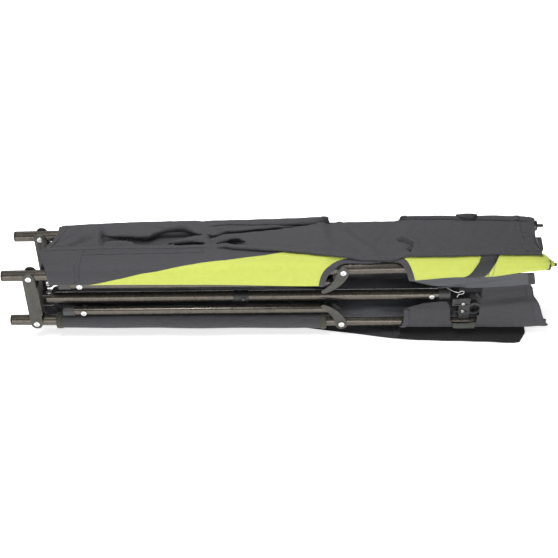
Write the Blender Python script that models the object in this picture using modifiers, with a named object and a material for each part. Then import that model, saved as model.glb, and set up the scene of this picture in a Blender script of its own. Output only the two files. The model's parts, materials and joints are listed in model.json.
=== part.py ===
"""A folding camping cot in its folded state.

+X runs along the rails from the hubs to their free ends, +Y from the near frame to the far one, and +Z up
from the lower rails to the upper ones. Each frame has a hub with an upper and a lower rail, an end leg beside
each rail and one centre leg. The far frame is the near one turned half a turn about X. Sizes are in metres.
"""

import math

import bmesh
import bpy
from mathutils import Vector

MM = 0.001

# Clearances
GAP = 0.3 * MM
HOLE_CLEARANCE = 0.3 * MM
SOFT_GAP = 0.5 * MM

# Frame layout
FRAME_GAP = 120 * MM
PIVOT_HEIGHT = 52 * MM
RAIL_TILT = math.radians(0.8)

# Tubes
RAIL_RADIUS = 10 * MM
RAIL_WALL = 1.2 * MM
RAIL_LENGTH = 925 * MM
STUB_LENGTH = 46.5 * MM
LEG_RADIUS = 8 * MM
LEG_WALL = 1.2 * MM
TUBE_SIDES = 20

# Plates and rivets
PLATE_HALF_WIDTH = 11 * MM
PLATE_THICKNESS = 2 * MM
RIVET_RADIUS = 3 * MM
RIVET_HEAD_RADIUS = 5.6 * MM
RIVET_HEAD_HEIGHT = 1.8 * MM
RIVET_SIDES = 12

# End legs
LEG_PIVOT_X = 560 * MM
LEG_INSET = 21 * MM
LEG_FOOT_X = 50 * MM
BRACKET_OUTER_TIP = (-34 * MM, 17.5 * MM)
BRACKET_OUTER_BULGE = (-8 * MM, 30 * MM)
BRACKET_OUTER_TIP_HALF_WIDTH = 4.5 * MM
BRACKET_INNER_TIP_BACK = 26 * MM
BRACKET_INNER_TIP_HALF_WIDTH = 7 * MM
BRACKET_WEB_BACK = 22 * MM
BRACKET_WEB_THICKNESS = 5 * MM
BRACKET_PLUG_LENGTH = 24 * MM
FOOT_LENGTH = 21 * MM
FOOT_WALL = 1.2 * MM
FOOT_RIVET_X = 88 * MM

# Centre legs
CENTRE_PIN_X = 25 * MM
CENTRE_PIN_DEPTH = 16 * MM
CENTRE_LEG_DROP = 12 * MM
CENTRE_LEG_OVERHANG = 5 * MM
CENTRE_LEG_REACH = 735 * MM
COLLAR_X = 376 * MM
COLLAR_LENGTH = 28 * MM
COLLAR_WALL = 1.3 * MM
COLLAR_EDGE = 2 * MM
CENTRE_FOOT_LENGTH = 22 * MM
LUG_THICKNESS = 2.5 * MM
LUG_HALF_WIDTH = 9 * MM
WEB_THICKNESS = 2 * MM
WEB_HALF_HEIGHT = 32 * MM

# End plugs
PLUG_HEAD = 3 * MM
PLUG_DEPTH = 14 * MM
SPIGOT_RADIUS = 3 * MM
SPIGOT_LENGTH = 12 * MM

# Sleeves
SLEEVE_START = 36 * MM
SLEEVE_END = RAIL_LENGTH - 3 * MM
BORE_OVERRUN = 20 * MM
SLEEVE_SIDE = 15 * MM
SLEEVE_OUTWARD = 19 * MM
SLEEVE_INWARD = 12.6 * MM
SLEEVE_OVER_FOOT = 11.3 * MM
SLEEVE_INWARD_LOOSE = 21 * MM
WINDOW_START = LEG_PIVOT_X - 43 * MM
WINDOW_END = LEG_PIVOT_X + 108 * MM
LOOP_POINTS = 20

# Bed fabric
FABRIC_START = 44 * MM
FABRIC_END = RAIL_LENGTH - 10 * MM
FABRIC_INNER = 24 * MM
FABRIC_DROOP = 6 * MM
LOWER_FOLD_SHARE = 0.5
UPPER_FABRIC_TOP = 70 * MM
LOWER_FABRIC_TOP = 44 * MM
GROUND = 90 * MM
FLAP_THICKNESS = 3.7 * MM
FLAP_OVERLAP = 1.5 * MM
FLAP_BACK = 100 * MM
FLAP_START = 90 * MM
POCKET_START = 662 * MM
POCKET_END = RAIL_LENGTH - 40 * MM
POCKET_FRONT = 39 * MM
FLAP_FRONT_LEAVES = 440 * MM
FLAP_FRONT_END = 27 * MM
FABRIC_STATIONS = 30

# Strap, tab and clip
STRAP_X = RAIL_LENGTH - 129 * MM
STRAP_WIDTH = 36 * MM
STRAP_THICKNESS = 1.6 * MM
STRAP_LEAN = 20 * MM
TAB_LENGTH = 27 * MM
TAB_WIDTH = 30 * MM
TAB_THICKNESS = 3 * MM
TAB_RISE = 2 * MM
CLIP_GAP = 0.4 * MM
CLIP_ARM_LENGTH = 13 * MM
CLIP_BODY_LENGTH = 20 * MM
CLIP_WIDTH = 18 * MM
CLIP_TOP = -4 * MM
CLIP_WALL = 3 * MM
CLIP_ARM_STEP = 2 * MM
CLIP_ROOM = 3 * MM

# Worked out from the sizes above
PLATE_INNER = RAIL_RADIUS + GAP
PLATE_OUTER = PLATE_INNER + PLATE_THICKNESS
HOLE_RADIUS = RIVET_RADIUS + HOLE_CLEARANCE
WEB_X = PLATE_HALF_WIDTH + GAP
LEG_HEIGHT = PIVOT_HEIGHT - LEG_INSET
BRACKET_DROP = PIVOT_HEIGHT + LEG_PIVOT_X * math.sin(RAIL_TILT) - LEG_HEIGHT
CENTRE_FOOT_END = CENTRE_PIN_X + CENTRE_LEG_REACH
CLIP_ARM_START = CENTRE_FOOT_END + CLIP_GAP
CLIP_BODY_START = CLIP_ARM_START + CLIP_ARM_LENGTH
CLIP_BODY_END = CLIP_BODY_START + CLIP_BODY_LENGTH
FABRIC_SIDE = SLEEVE_SIDE + SOFT_GAP
RAIL_RISE = math.sin(RAIL_TILT)

NEAR, FAR = "near", "far"
UPPER, LOWER = "upper", "lower"
UP_SIGN = {UPPER: 1, LOWER: -1}
OUT_SIGN = {NEAR: -1, FAR: 1}


def clear_scene():
    for obj in list(bpy.data.objects):
        bpy.data.objects.remove(obj, do_unlink=True)


clear_scene()
parts = bpy.data.collections.new("camping_cot")
cutters = bpy.data.collections.new("cutters")
bpy.context.scene.collection.children.link(parts)
bpy.context.scene.collection.children.link(cutters)


# Materials
def material(name, colour, roughness, metallic):
    mat = bpy.data.materials.new(name)
    mat.use_nodes = True
    shader = mat.node_tree.nodes["Principled BSDF"]
    shader.inputs["Base Color"].default_value = (*colour, 1)
    shader.inputs["Roughness"].default_value = roughness
    shader.inputs["Metallic"].default_value = metallic
    return mat


BRONZE_TUBE = material("bronze_tube", (0.075, 0.066, 0.052), 0.38, 0.6)
BRONZE_PLATE = material("bronze_plate", (0.075, 0.073, 0.062), 0.5, 0.5)
RIVET_STEEL = material("rivet_steel", (0.72, 0.72, 0.7), 0.25, 1.0)
BLACK_PLASTIC = material("black_plastic", (0.012, 0.012, 0.013), 0.45, 0.0)
GREY_PLASTIC = material("grey_plastic", (0.03, 0.03, 0.03), 0.55, 0.0)
GREY_FABRIC = material("grey_fabric", (0.075, 0.073, 0.088), 0.85, 0.0)
LIME_FABRIC = material("lime_fabric", (0.67, 0.77, 0.13), 0.8, 0.0)
BLACK_FABRIC = material("black_fabric", (0.018, 0.018, 0.019), 0.9, 0.0)
WEBBING = material("webbing", (0.02, 0.02, 0.022), 0.85, 0.0)


# Placing and shaping
def empty(name, location, parent, turn=0.0):
    """An empty on a joint's axis: turn is about Y, positive from +X towards +Z."""
    obj = bpy.data.objects.new(name, None)
    parts.objects.link(obj)
    obj.location = location
    obj.rotation_euler = (0, -turn, 0)
    obj.parent = parent
    return obj


def add(name, data, mat, parent, location=(0, 0, 0)):
    obj = bpy.data.objects.new(name, data)
    parts.objects.link(obj)
    data.materials.append(mat)
    obj.parent = parent
    obj.location = location
    return obj


def smooth(obj):
    obj.data.shade_smooth()
    obj.data.set_sharp_from_angle(angle=math.radians(40))
    return obj


def cylinder_mesh(name, radius, length, sides, caps):
    """A cylinder along +X from x=0."""
    mesh = bpy.data.meshes.new(name)
    bm = bmesh.new()
    bmesh.ops.create_cone(bm, cap_ends=caps, segments=sides, radius1=radius, radius2=radius, depth=length)
    for vert in bm.verts:
        x, y, z = vert.co
        vert.co = (z + length / 2, y, -x)
    bm.to_mesh(mesh)
    bm.free()
    return mesh


def tube(name, radius, wall, length, mat, parent, location):
    """A hollow tube along +X, its outer face at the given radius."""
    mesh = cylinder_mesh(name, radius, length, TUBE_SIDES, False)
    obj = add(name, mesh, mat, parent, location)
    shell = obj.modifiers.new("wall", "SOLIDIFY")
    shell.thickness = wall
    shell.offset = -1
    shell.use_even_offset = True
    return smooth(obj)


def drill(obj, parent, location, axis, radius, length):
    """Cuts a round hole, its middle at the location under the given parent."""
    mesh = cylinder_mesh(obj.name + "_hole", radius, length, RIVET_SIDES, True)
    cutter = bpy.data.objects.new(mesh.name, mesh)
    cutters.objects.link(cutter)
    cutter.parent = parent
    start = Vector(location) - Vector(axis) * length / 2
    cutter.location = start
    cutter.rotation_euler = Vector((1, 0, 0)).rotation_difference(Vector(axis)).to_euler()
    return cut(obj, cutter)


def cut(obj, cutter, operation="DIFFERENCE"):
    cutter.hide_render = True
    cutter.display_type = "WIRE"
    boolean = obj.modifiers.new(operation.lower(), "BOOLEAN")
    boolean.operation = operation
    boolean.object = cutter
    boolean.solver = "EXACT"
    return obj


def box_cutter(name, low, high, parent):
    mesh = bpy.data.meshes.new(name)
    bm = bmesh.new()
    bmesh.ops.create_cube(bm, size=1)
    for vert in bm.verts:
        vert.co = [low[k] + (vert.co[k] + 0.5) * (high[k] - low[k]) for k in range(3)]
    bm.to_mesh(mesh)
    bm.free()
    obj = bpy.data.objects.new(name, mesh)
    cutters.objects.link(obj)
    obj.parent = parent
    return obj


def turned(name, profile, mat, parent, location, axis, sides=RIVET_SIDES):
    """A solid of revolution: the profile is (radius, height) from its top on the axis down to its bottom."""
    mesh = bpy.data.meshes.new(name)
    bm = bmesh.new()
    verts = [bm.verts.new((radius, 0, height)) for radius, height in profile]
    for first, second in zip(verts, verts[1:]):
        bm.edges.new((first, second))
    bm.to_mesh(mesh)
    bm.free()
    obj = add(name, mesh, mat, parent, location)
    obj.rotation_euler = Vector((0, 0, 1)).rotation_difference(Vector(axis)).to_euler()
    screw = obj.modifiers.new("turn", "SCREW")
    screw.steps = sides
    screw.render_steps = sides
    screw.use_merge_vertices = True
    screw.merge_threshold = 0.00001
    return obj


def outline_curve(name, outlines, thickness):
    """A flat plate in its local XY plane, its middle at z=0. The first outline is its edge, the rest holes."""
    curve = bpy.data.curves.new(name, "CURVE")
    curve.dimensions = "2D"
    curve.fill_mode = "BOTH"
    curve.extrude = thickness / 2
    for points in outlines:
        spline = curve.splines.new("POLY")
        spline.points.add(len(points) - 1)
        for point, (x, y) in zip(spline.points, points):
            point.co = (x, y, 0, 1)
        spline.use_cyclic_u = True
    return curve


def mesh_of_curve(name, curve, location, rotation, parent):
    """A curve's solid as a mesh with its caps welded, under the given parent."""
    guide = bpy.data.objects.new(name + "_outline", curve)
    cutters.objects.link(guide)
    bpy.context.view_layer.update()
    mesh = bpy.data.meshes.new_from_object(guide.evaluated_get(bpy.context.evaluated_depsgraph_get()))
    mesh.name = name
    bpy.data.objects.remove(guide, do_unlink=True)
    bm = bmesh.new()
    bm.from_mesh(mesh)
    bmesh.ops.remove_doubles(bm, verts=bm.verts, dist=0.00001)
    bmesh.ops.recalc_face_normals(bm, faces=bm.faces)
    bm.to_mesh(mesh)
    bm.free()
    mesh.materials.clear()
    obj = bpy.data.objects.new(name, mesh)
    obj.location = location
    obj.rotation_euler = rotation
    obj.parent = parent
    return obj


def keep(obj, mat):
    parts.objects.link(obj)
    obj.data.materials.append(mat)
    return obj


def circle(centre, radius, sides=RIVET_SIDES):
    turns = [2 * math.pi * k / sides for k in range(sides)]
    return [(centre[0] + radius * math.cos(t), centre[1] + radius * math.sin(t)) for t in turns]


def band(start, bulge, end, start_half, end_half, steps=6, arc_steps=7):
    """The outline of a curved band with round ends, along a bend from start past bulge to end."""
    start, bulge, end = Vector(start), Vector(bulge), Vector(end)
    left, right = [], []
    for k in range(steps + 1):
        t = k / steps
        point = start * (1 - t) ** 2 + bulge * 2 * t * (1 - t) + end * t**2
        along = ((bulge - start) * (1 - t) + (end - bulge) * t).normalized()
        side = Vector((-along.y, along.x)) * (start_half + (end_half - start_half) * t)
        left.append(point + side)
        right.append(point - side)
    first = (bulge - start).normalized()
    last = (end - bulge).normalized()
    end_arc = half_turn(end, math.atan2(last.x, -last.y), end_half, arc_steps)
    start_arc = half_turn(start, math.atan2(-first.x, first.y), start_half, arc_steps)
    return [tuple(p) for p in left + end_arc + right[::-1] + start_arc]


def half_turn(centre, from_angle, radius, steps):
    """Points inside half a turn clockwise, its two ends left out."""
    angles = [from_angle - math.pi * k / steps for k in range(1, steps)]
    return [centre + Vector((math.cos(a), math.sin(a))) * radius for a in angles]


def standing_plate(name, outlines, y_middle, parent):
    """A plate that stands in the XZ plane."""
    curve = outline_curve(name, outlines, PLATE_THICKNESS)
    return mesh_of_curve(name, curve, (0, y_middle, 0), (math.pi / 2, 0, 0), parent)


def rivet_profile(half_length):
    """A rivet with a domed head at each end, about its middle."""
    crown = half_length + RIVET_HEAD_HEIGHT
    shoulder = half_length + RIVET_HEAD_HEIGHT * 0.55
    top = [(0, crown), (RIVET_HEAD_RADIUS * 0.6, crown - RIVET_HEAD_HEIGHT * 0.15)]
    top += [(RIVET_HEAD_RADIUS, shoulder), (RIVET_HEAD_RADIUS, half_length), (RIVET_RADIUS, half_length)]
    return top + [(radius, -height) for radius, height in reversed(top)]


def rivet(name, half_length, parent, location, axis=(0, 1, 0)):
    return smooth_screw(turned(name, rivet_profile(half_length), RIVET_STEEL, parent, location, axis))


def smooth_screw(obj):
    obj.modifiers["turn"].use_smooth_shade = True
    return obj


def cup_profile(inner, outer, length, wall):
    """A cap with its closed end at height 0 and its mouth at height -length."""
    bevel = (outer - inner) * 0.6
    return [
        (0, 0),
        (outer - bevel, 0),
        (outer, -bevel),
        (outer, -length),
        (inner, -length),
        (inner, -wall),
        (0, -wall),
    ]


def loft(name, rings, mat, parent):
    """A closed skin through rings of equal point count, with its two ends filled."""
    mesh = bpy.data.meshes.new(name)
    bm = bmesh.new()
    loops = [[bm.verts.new(point) for point in ring] for ring in rings]
    for first, second in zip(loops, loops[1:]):
        for k in range(len(first)):
            after = (k + 1) % len(first)
            bm.faces.new((first[k], first[after], second[after], second[k]))
    bm.faces.new(loops[0])
    bm.faces.new(loops[-1])
    bm.normal_update()
    bmesh.ops.recalc_face_normals(bm, faces=bm.faces)
    bm.to_mesh(mesh)
    bm.free()
    return add(name, mesh, mat, parent)


def sleeve_loop(x, side, outward, inward, up):
    """One ring of a fabric sleeve round a rail on the X axis. up is +1 where outward is +Z."""
    points = []
    for k in range(LOOP_POINTS):
        turn = 2 * math.pi * k / LOOP_POINTS
        height = math.sin(turn)
        reach = outward if height > 0 else inward
        points.append((x, side * math.cos(turn), up * reach * height))
    return points


def bounds_of(objects):
    graph = bpy.context.evaluated_depsgraph_get()
    low, high = [math.inf] * 3, [-math.inf] * 3
    for obj in objects:
        shown = obj.evaluated_get(graph)
        mesh = shown.to_mesh()
        for vert in mesh.vertices:
            place = shown.matrix_world @ vert.co
            low = [min(low[k], place[k]) for k in range(3)]
            high = [max(high[k], place[k]) for k in range(3)]
        shown.to_mesh_clear()
    return low, high


# Hub: two plates, two rivets, a bracket with two lugs and a pin for the centre leg
def frame_y(frame):
    return FRAME_GAP if frame == FAR else 0.0


def centre_leg_y(frame):
    return frame_y(frame) - OUT_SIGN[frame] * CENTRE_PIN_DEPTH


def centre_leg_z(frame):
    return CENTRE_LEG_DROP if frame == FAR else -CENTRE_LEG_DROP


def hub_plates(frame, root):
    ends = [(0, PIVOT_HEIGHT), (0, -PIVOT_HEIGHT)]
    edge = band(ends[0], (0, 0), ends[1], PLATE_HALF_WIDTH, PLATE_HALF_WIDTH, steps=1)
    outlines = [edge] + [circle(end, HOLE_RADIUS) for end in ends]
    for side, sign in (("outer", OUT_SIGN[frame]), ("inner", -OUT_SIGN[frame])):
        y_middle = frame_y(frame) + sign * (PLATE_INNER + PLATE_THICKNESS / 2)
        keep(standing_plate(f"{frame}_hub_{side}_plate", outlines, y_middle, root), BRONZE_PLATE)


def hub_rivets(frame, root):
    for level, up in UP_SIGN.items():
        rivet(f"{frame}_{level}_hub_rivet", PLATE_OUTER + GAP, root, (0, frame_y(frame), up * PIVOT_HEIGHT))


def hub_bracket(frame, root):
    """A web against the plates' edges, with a lug above and below the centre leg's end."""
    y_leg, z_leg = centre_leg_y(frame), centre_leg_z(frame)
    y_outer = frame_y(frame) + OUT_SIGN[frame] * PLATE_OUTER
    y_inner = y_leg - OUT_SIGN[frame] * (LUG_HALF_WIDTH + 1 * MM)
    low = (WEB_X, min(y_outer, y_inner), -WEB_HALF_HEIGHT)
    high = (WEB_X + WEB_THICKNESS, max(y_outer, y_inner), WEB_HALF_HEIGHT)
    web = box_cutter(f"{frame}_hub_bracket", low, high, root)
    cutters.objects.unlink(web)
    lug_start = (WEB_X + WEB_THICKNESS / 2, y_leg)
    lug_end = (CENTRE_PIN_X, y_leg)
    middle = ((lug_start[0] + lug_end[0]) / 2, y_leg)
    edge = band(lug_end, middle, lug_start, LUG_HALF_WIDTH, LUG_HALF_WIDTH, steps=1)
    edge = [(max(x, lug_start[0]), y) for x, y in edge]
    outlines = [edge, circle(lug_end, HOLE_RADIUS)]
    for side in (1, -1):
        z_lug = z_leg + side * (RAIL_RADIUS + GAP + LUG_THICKNESS / 2)
        curve = outline_curve(f"{frame}_lug", outlines, LUG_THICKNESS)
        lug = mesh_of_curve(f"{frame}_lug_{side}", curve, (0, 0, z_lug), (0, 0, 0), root)
        cutters.objects.link(lug)
        cut(web, lug, "UNION")
    return keep(web, BRONZE_PLATE)


def centre_pin(frame, root):
    half = RAIL_RADIUS + GAP + LUG_THICKNESS + GAP
    place = (CENTRE_PIN_X, centre_leg_y(frame), centre_leg_z(frame))
    rivet(f"{frame}_centre_leg_pin", half, root, place, (0, 0, 1))


# Centre leg: tube, collar at the crossing and foot cap, all along X from the pin
def centre_leg(frame, root):
    pivot = empty(f"{frame}_centre_leg_pivot", (CENTRE_PIN_X, centre_leg_y(frame), centre_leg_z(frame)), root)
    length = CENTRE_LEG_OVERHANG + CENTRE_LEG_REACH - FOOT_WALL * 2
    start = (-CENTRE_LEG_OVERHANG, 0, 0)
    leg = tube(f"{frame}_centre_leg", RAIL_RADIUS, RAIL_WALL, length, BRONZE_TUBE, pivot, start)
    drill(leg, pivot, (0, 0, 0), (0, 0, 1), HOLE_RADIUS, 4 * RAIL_RADIUS)
    inner, outer = RAIL_RADIUS + GAP, RAIL_RADIUS + GAP + COLLAR_WALL
    half = COLLAR_LENGTH / 2
    profile = [(inner, half), (outer - GAP, half), (outer, half - COLLAR_EDGE), (outer, COLLAR_EDGE - half)]
    profile += [(outer - GAP, -half), (inner, -half)]
    collar = turned(
        f"{frame}_centre_leg_collar",
        profile,
        BLACK_PLASTIC,
        pivot,
        (COLLAR_X - CENTRE_PIN_X, 0, 0),
        (1, 0, 0),
        TUBE_SIDES,
    )
    close_profile(collar)
    smooth_screw(collar)
    foot_outer = RAIL_RADIUS + GAP + FOOT_WALL
    foot_profile = cup_profile(RAIL_RADIUS + GAP, foot_outer, CENTRE_FOOT_LENGTH, FOOT_WALL * 2 - GAP)
    foot = turned(
        f"{frame}_centre_leg_foot",
        foot_profile,
        GREY_PLASTIC,
        pivot,
        (CENTRE_LEG_REACH, 0, 0),
        (1, 0, 0),
        TUBE_SIDES,
    )
    return smooth_screw(foot)


def close_profile(obj):
    """Joins the last profile point to the first, for a ring with a bore."""
    bm = bmesh.new()
    bm.from_mesh(obj.data)
    bm.verts.ensure_lookup_table()
    bm.edges.new((bm.verts[-1], bm.verts[0]))
    bm.to_mesh(obj.data)
    bm.free()


# Rail: tube past the hub as a stub, end plugs at both ends
def rail(frame, level, pivot):
    name = f"{frame}_{level}"
    length = STUB_LENGTH + RAIL_LENGTH
    obj = tube(f"{name}_rail", RAIL_RADIUS, RAIL_WALL, length, BRONZE_TUBE, pivot, (-STUB_LENGTH, 0, 0))
    drill(obj, pivot, (0, 0, 0), (0, 1, 0), HOLE_RADIUS, 4 * RAIL_RADIUS)
    drill(obj, pivot, (LEG_PIVOT_X, 0, 0), (0, 1, 0), HOLE_RADIUS, 4 * RAIL_RADIUS)
    bore = RAIL_RADIUS - RAIL_WALL - GAP
    head = RAIL_RADIUS - GAP
    plug = [(0, PLUG_HEAD), (head - 1 * MM, PLUG_HEAD), (head, PLUG_HEAD - 1 * MM), (head, GAP)]
    plug += [(bore, GAP), (bore, -PLUG_DEPTH), (0, -PLUG_DEPTH)]
    plug_at(f"{name}_stub_plug", plug, BLACK_PLASTIC, pivot, -STUB_LENGTH, (-1, 0, 0))
    spigot = [(0, PLUG_HEAD + SPIGOT_LENGTH), (SPIGOT_RADIUS * 0.7, PLUG_HEAD + SPIGOT_LENGTH)]
    spigot += [(SPIGOT_RADIUS, PLUG_HEAD + SPIGOT_LENGTH - 1 * MM), (SPIGOT_RADIUS, PLUG_HEAD)]
    plug_at(f"{name}_end_spigot", spigot + plug[1:], BLACK_PLASTIC, pivot, RAIL_LENGTH, (1, 0, 0))


def plug_at(name, profile, mat, pivot, x, axis):
    return smooth_screw(turned(name, profile, mat, pivot, (x, 0, 0), axis, TUBE_SIDES))


# End leg: bracket on its rail's rivet, tube, foot cap and foot rivet, all parallel to the centre leg
def end_leg(frame, level, pivot):
    name = f"{frame}_{level}"
    up, out, y = UP_SIGN[level], OUT_SIGN[frame], 0.0
    rivet(f"{name}_leg_rivet", PLATE_OUTER + GAP, pivot, (LEG_PIVOT_X, 0, 0))
    knee = empty(f"{name}_leg_pivot", (LEG_PIVOT_X, 0, 0), pivot, -up * RAIL_TILT)
    z_leg = -up * BRACKET_DROP
    outer_tip = (BRACKET_OUTER_TIP[0], -up * (BRACKET_DROP + LEG_HEIGHT - BRACKET_OUTER_TIP[1]))
    outer_bulge = (BRACKET_OUTER_BULGE[0], -up * BRACKET_OUTER_BULGE[1])
    outer_edge = band((0, 0), outer_bulge, outer_tip, PLATE_HALF_WIDTH, BRACKET_OUTER_TIP_HALF_WIDTH)
    inner_tip = (-BRACKET_INNER_TIP_BACK, z_leg)
    inner_bulge = (-BRACKET_INNER_TIP_BACK * 0.35, z_leg * 0.7)
    inner_edge = band((0, 0), inner_bulge, inner_tip, PLATE_HALF_WIDTH, BRACKET_INNER_TIP_HALF_WIDTH)
    hole = circle((0, 0), HOLE_RADIUS)
    middle = PLATE_INNER + PLATE_THICKNESS / 2
    bracket = standing_plate(f"{name}_leg_bracket", [outer_edge, hole], y + out * middle, knee)
    inner = standing_plate(f"{name}_inner_plate", [inner_edge, hole], y - out * middle, knee)
    web_x = -BRACKET_WEB_BACK
    half_web = LEG_RADIUS - 1 * MM
    reach = PLATE_INNER + PLATE_THICKNESS / 2
    low = (web_x, y - reach, z_leg - half_web)
    high = (web_x + BRACKET_WEB_THICKNESS, y + reach, z_leg + half_web)
    web = box_cutter(f"{name}_bracket_web", low, high, knee)
    plug_mesh = cylinder_mesh(
        f"{name}_bracket_plug", LEG_RADIUS - LEG_WALL - GAP, BRACKET_PLUG_LENGTH, RIVET_SIDES, True
    )
    plug = bpy.data.objects.new(plug_mesh.name, plug_mesh)
    plug.parent = knee
    plug.location = (web_x + 1 * MM - BRACKET_PLUG_LENGTH, y, z_leg)
    for piece in (inner, plug):
        cutters.objects.link(piece)
    cut(bracket, web, "UNION")
    cut(bracket, inner, "UNION")
    cut(bracket, plug, "UNION")
    keep(bracket, BRONZE_PLATE)
    foot_x = LEG_FOOT_X - LEG_PIVOT_X * math.cos(RAIL_TILT)
    leg_start = foot_x + FOOT_WALL * 2
    leg_length = web_x - GAP - leg_start
    leg = tube(f"{name}_leg", LEG_RADIUS, LEG_WALL, leg_length, BRONZE_TUBE, knee, (leg_start, y, z_leg))
    rivet_x = foot_x - LEG_FOOT_X + FOOT_RIVET_X
    drill(leg, knee, (rivet_x, y, z_leg), (0, 1, 0), HOLE_RADIUS, 4 * LEG_RADIUS)
    rivet(f"{name}_foot_rivet", LEG_RADIUS + GAP, knee, (rivet_x, y, z_leg))
    bore = LEG_RADIUS + GAP
    foot_profile = cup_profile(bore, bore + FOOT_WALL, FOOT_LENGTH, FOOT_WALL * 2 - GAP)
    place = (foot_x, y, z_leg)
    foot = turned(f"{name}_foot", foot_profile, GREY_PLASTIC, knee, place, (-1, 0, 0), TUBE_SIDES)
    return smooth_screw(foot)


# Sleeves round the rails, cut away at the leg brackets
def sleeve(frame, level, pivot, mat):
    name = f"{frame}_{level}_sleeve"
    up = UP_SIGN[level]
    stations = [
        (SLEEVE_START, 0.86, SLEEVE_OVER_FOOT),
        (LEG_FOOT_X + 2 * FOOT_LENGTH, 0.92, SLEEVE_OVER_FOOT),
        (0.3 * WINDOW_START, 0.97, SLEEVE_INWARD),
        (0.6 * WINDOW_START, 1.0, SLEEVE_INWARD),
        (WINDOW_START, 1.0, SLEEVE_INWARD),
        (WINDOW_END, 1.0, SLEEVE_INWARD + 2 * MM),
        (WINDOW_END + 45 * MM, 0.97, SLEEVE_INWARD_LOOSE),
        (SLEEVE_END - 60 * MM, 0.97, SLEEVE_INWARD_LOOSE),
        (SLEEVE_END, 0.8, SLEEVE_INWARD_LOOSE * 0.8),
    ]
    rings = [
        sleeve_loop(x, SLEEVE_SIDE * share, SLEEVE_OUTWARD * share, inward, up)
        for x, share, inward in stations
    ]
    obj = loft(name, rings, mat, pivot)
    drill_bore(obj, pivot)
    reach = 2 * SLEEVE_INWARD_LOOSE
    bridge = up * (PLATE_HALF_WIDTH + SOFT_GAP)
    low = (WINDOW_START, -reach, min(bridge, -up * reach))
    high = (WINDOW_END, reach, max(bridge, -up * reach))
    cut(obj, box_cutter(f"{name}_window", low, high, pivot))
    return obj


def drill_bore(obj, pivot):
    length = SLEEVE_END - SLEEVE_START + 2 * BORE_OVERRUN
    mesh = cylinder_mesh(obj.name + "_bore", RAIL_RADIUS + SOFT_GAP, length, TUBE_SIDES, True)
    bore = bpy.data.objects.new(mesh.name, mesh)
    cutters.objects.link(bore)
    bore.parent = pivot
    bore.location = (SLEEVE_START - BORE_OVERRUN, 0, 0)
    cut(obj, bore)


# Bed fabric folded between the rails
def fold_depth(share, across):
    """How deep the folds press into the top, by place along (0 to 1) and across (0 to 1) the fabric."""
    first = math.exp(-(((share - 0.13) / 0.07) ** 2)) * math.sin(3.0 * math.pi * across)
    second = math.exp(-(((share - 0.3) / 0.09) ** 2)) * math.sin(2.2 * math.pi * across + 0.9)
    third = math.exp(-(((share - 0.47) / 0.12) ** 2)) * math.sin(2.6 * math.pi * across + 2.1)
    pinch = math.exp(-(((share - 0.72) / 0.05) ** 2)) * math.sin(math.pi * across) ** 2
    return 7 * MM * first + 6 * MM * second + 5 * MM * third + 5 * MM * pinch


def fabric_ring(x, share, inner, top, across_steps=12):
    """A station's ring: inner edge, near side, folded top, far side."""
    near, far = FABRIC_SIDE, FRAME_GAP - FABRIC_SIDE
    rise = x * RAIL_RISE
    points = [(x, near, inner)]
    for k in range(across_steps + 1):
        across = k / across_steps
        y = near + (far - near) * across
        droop = FABRIC_DROOP * math.sin(math.pi * across)
        edge = min(across, 1 - across) * 4
        height = top + rise - droop - fold_depth(share, across) * min(edge, 1)
        points.append((x, y, height))
    points.append((x, far, inner))
    return points


def stations_along(start, end, count):
    return [start + (end - start) * k / count for k in range(count + 1)]


def upper_fabric(root):
    """Hangs between the upper rails, its folded top between their sleeves."""
    rings = []
    for x in stations_along(FABRIC_START, FABRIC_END, FABRIC_STATIONS):
        share = (x - FABRIC_START) / (FABRIC_END - FABRIC_START)
        rings.append(fabric_ring(x, share, FABRIC_INNER, UPPER_FABRIC_TOP))
    return loft("upper_bed_fabric", rings, GREY_FABRIC, root)


def lower_fabric(root):
    """Lies on the ground, with its folded top between the lower rails and a flap out past the near rail."""
    rings = []
    for x in stations_along(FABRIC_START, FABRIC_END, FABRIC_STATIONS):
        share = (x - FABRIC_START) / (FABRIC_END - FABRIC_START)
        under = FLAP_THICKNESS - GROUND
        folds = fabric_ring(x, share, 0, -x * RAIL_RISE)[1:-1]
        top = [(px, py, LOWER_FOLD_SHARE * height - LOWER_FABRIC_TOP) for px, py, height in folds]
        rings.append([(x, top[0][1], under)] + top + [(x, top[-1][1], under)])
    obj = loft("lower_bed_fabric", rings, GREY_FABRIC, root)
    outline = [
        (FLAP_START, FABRIC_SIDE),
        (FLAP_FRONT_LEAVES, FABRIC_SIDE),
        (POCKET_START - GAP, -FLAP_FRONT_END),
        (POCKET_START - GAP, FLAP_BACK),
        (FLAP_START, FLAP_BACK),
    ]
    thickness = FLAP_THICKNESS + FLAP_OVERLAP
    curve = outline_curve("flap_outline", [outline], thickness)
    flap = mesh_of_curve("lower_flap", curve, (0, 0, thickness / 2 - GROUND), (0, 0, 0), root)
    cutters.objects.link(flap)
    return cut(obj, flap, "UNION")


def black_panel(root):
    """A flat black panel under the near lower sleeve, its right end slanted."""
    outline = [
        (POCKET_START, -FLAP_FRONT_END),
        (POCKET_START + 30 * MM, -POCKET_FRONT),
        (POCKET_END - 12 * MM, -POCKET_FRONT),
        (POCKET_END, -POCKET_FRONT + 14 * MM),
        (POCKET_END - 4 * MM, FLAP_BACK),
        (POCKET_START, FLAP_BACK),
    ]
    thickness = FLAP_THICKNESS - GAP
    curve = outline_curve("black_panel_outline", [outline], thickness)
    panel = mesh_of_curve("black_panel", curve, (0, 0, thickness / 2 - GROUND), (0, 0, 0), root)
    return keep(panel, BLACK_FABRIC)


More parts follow.
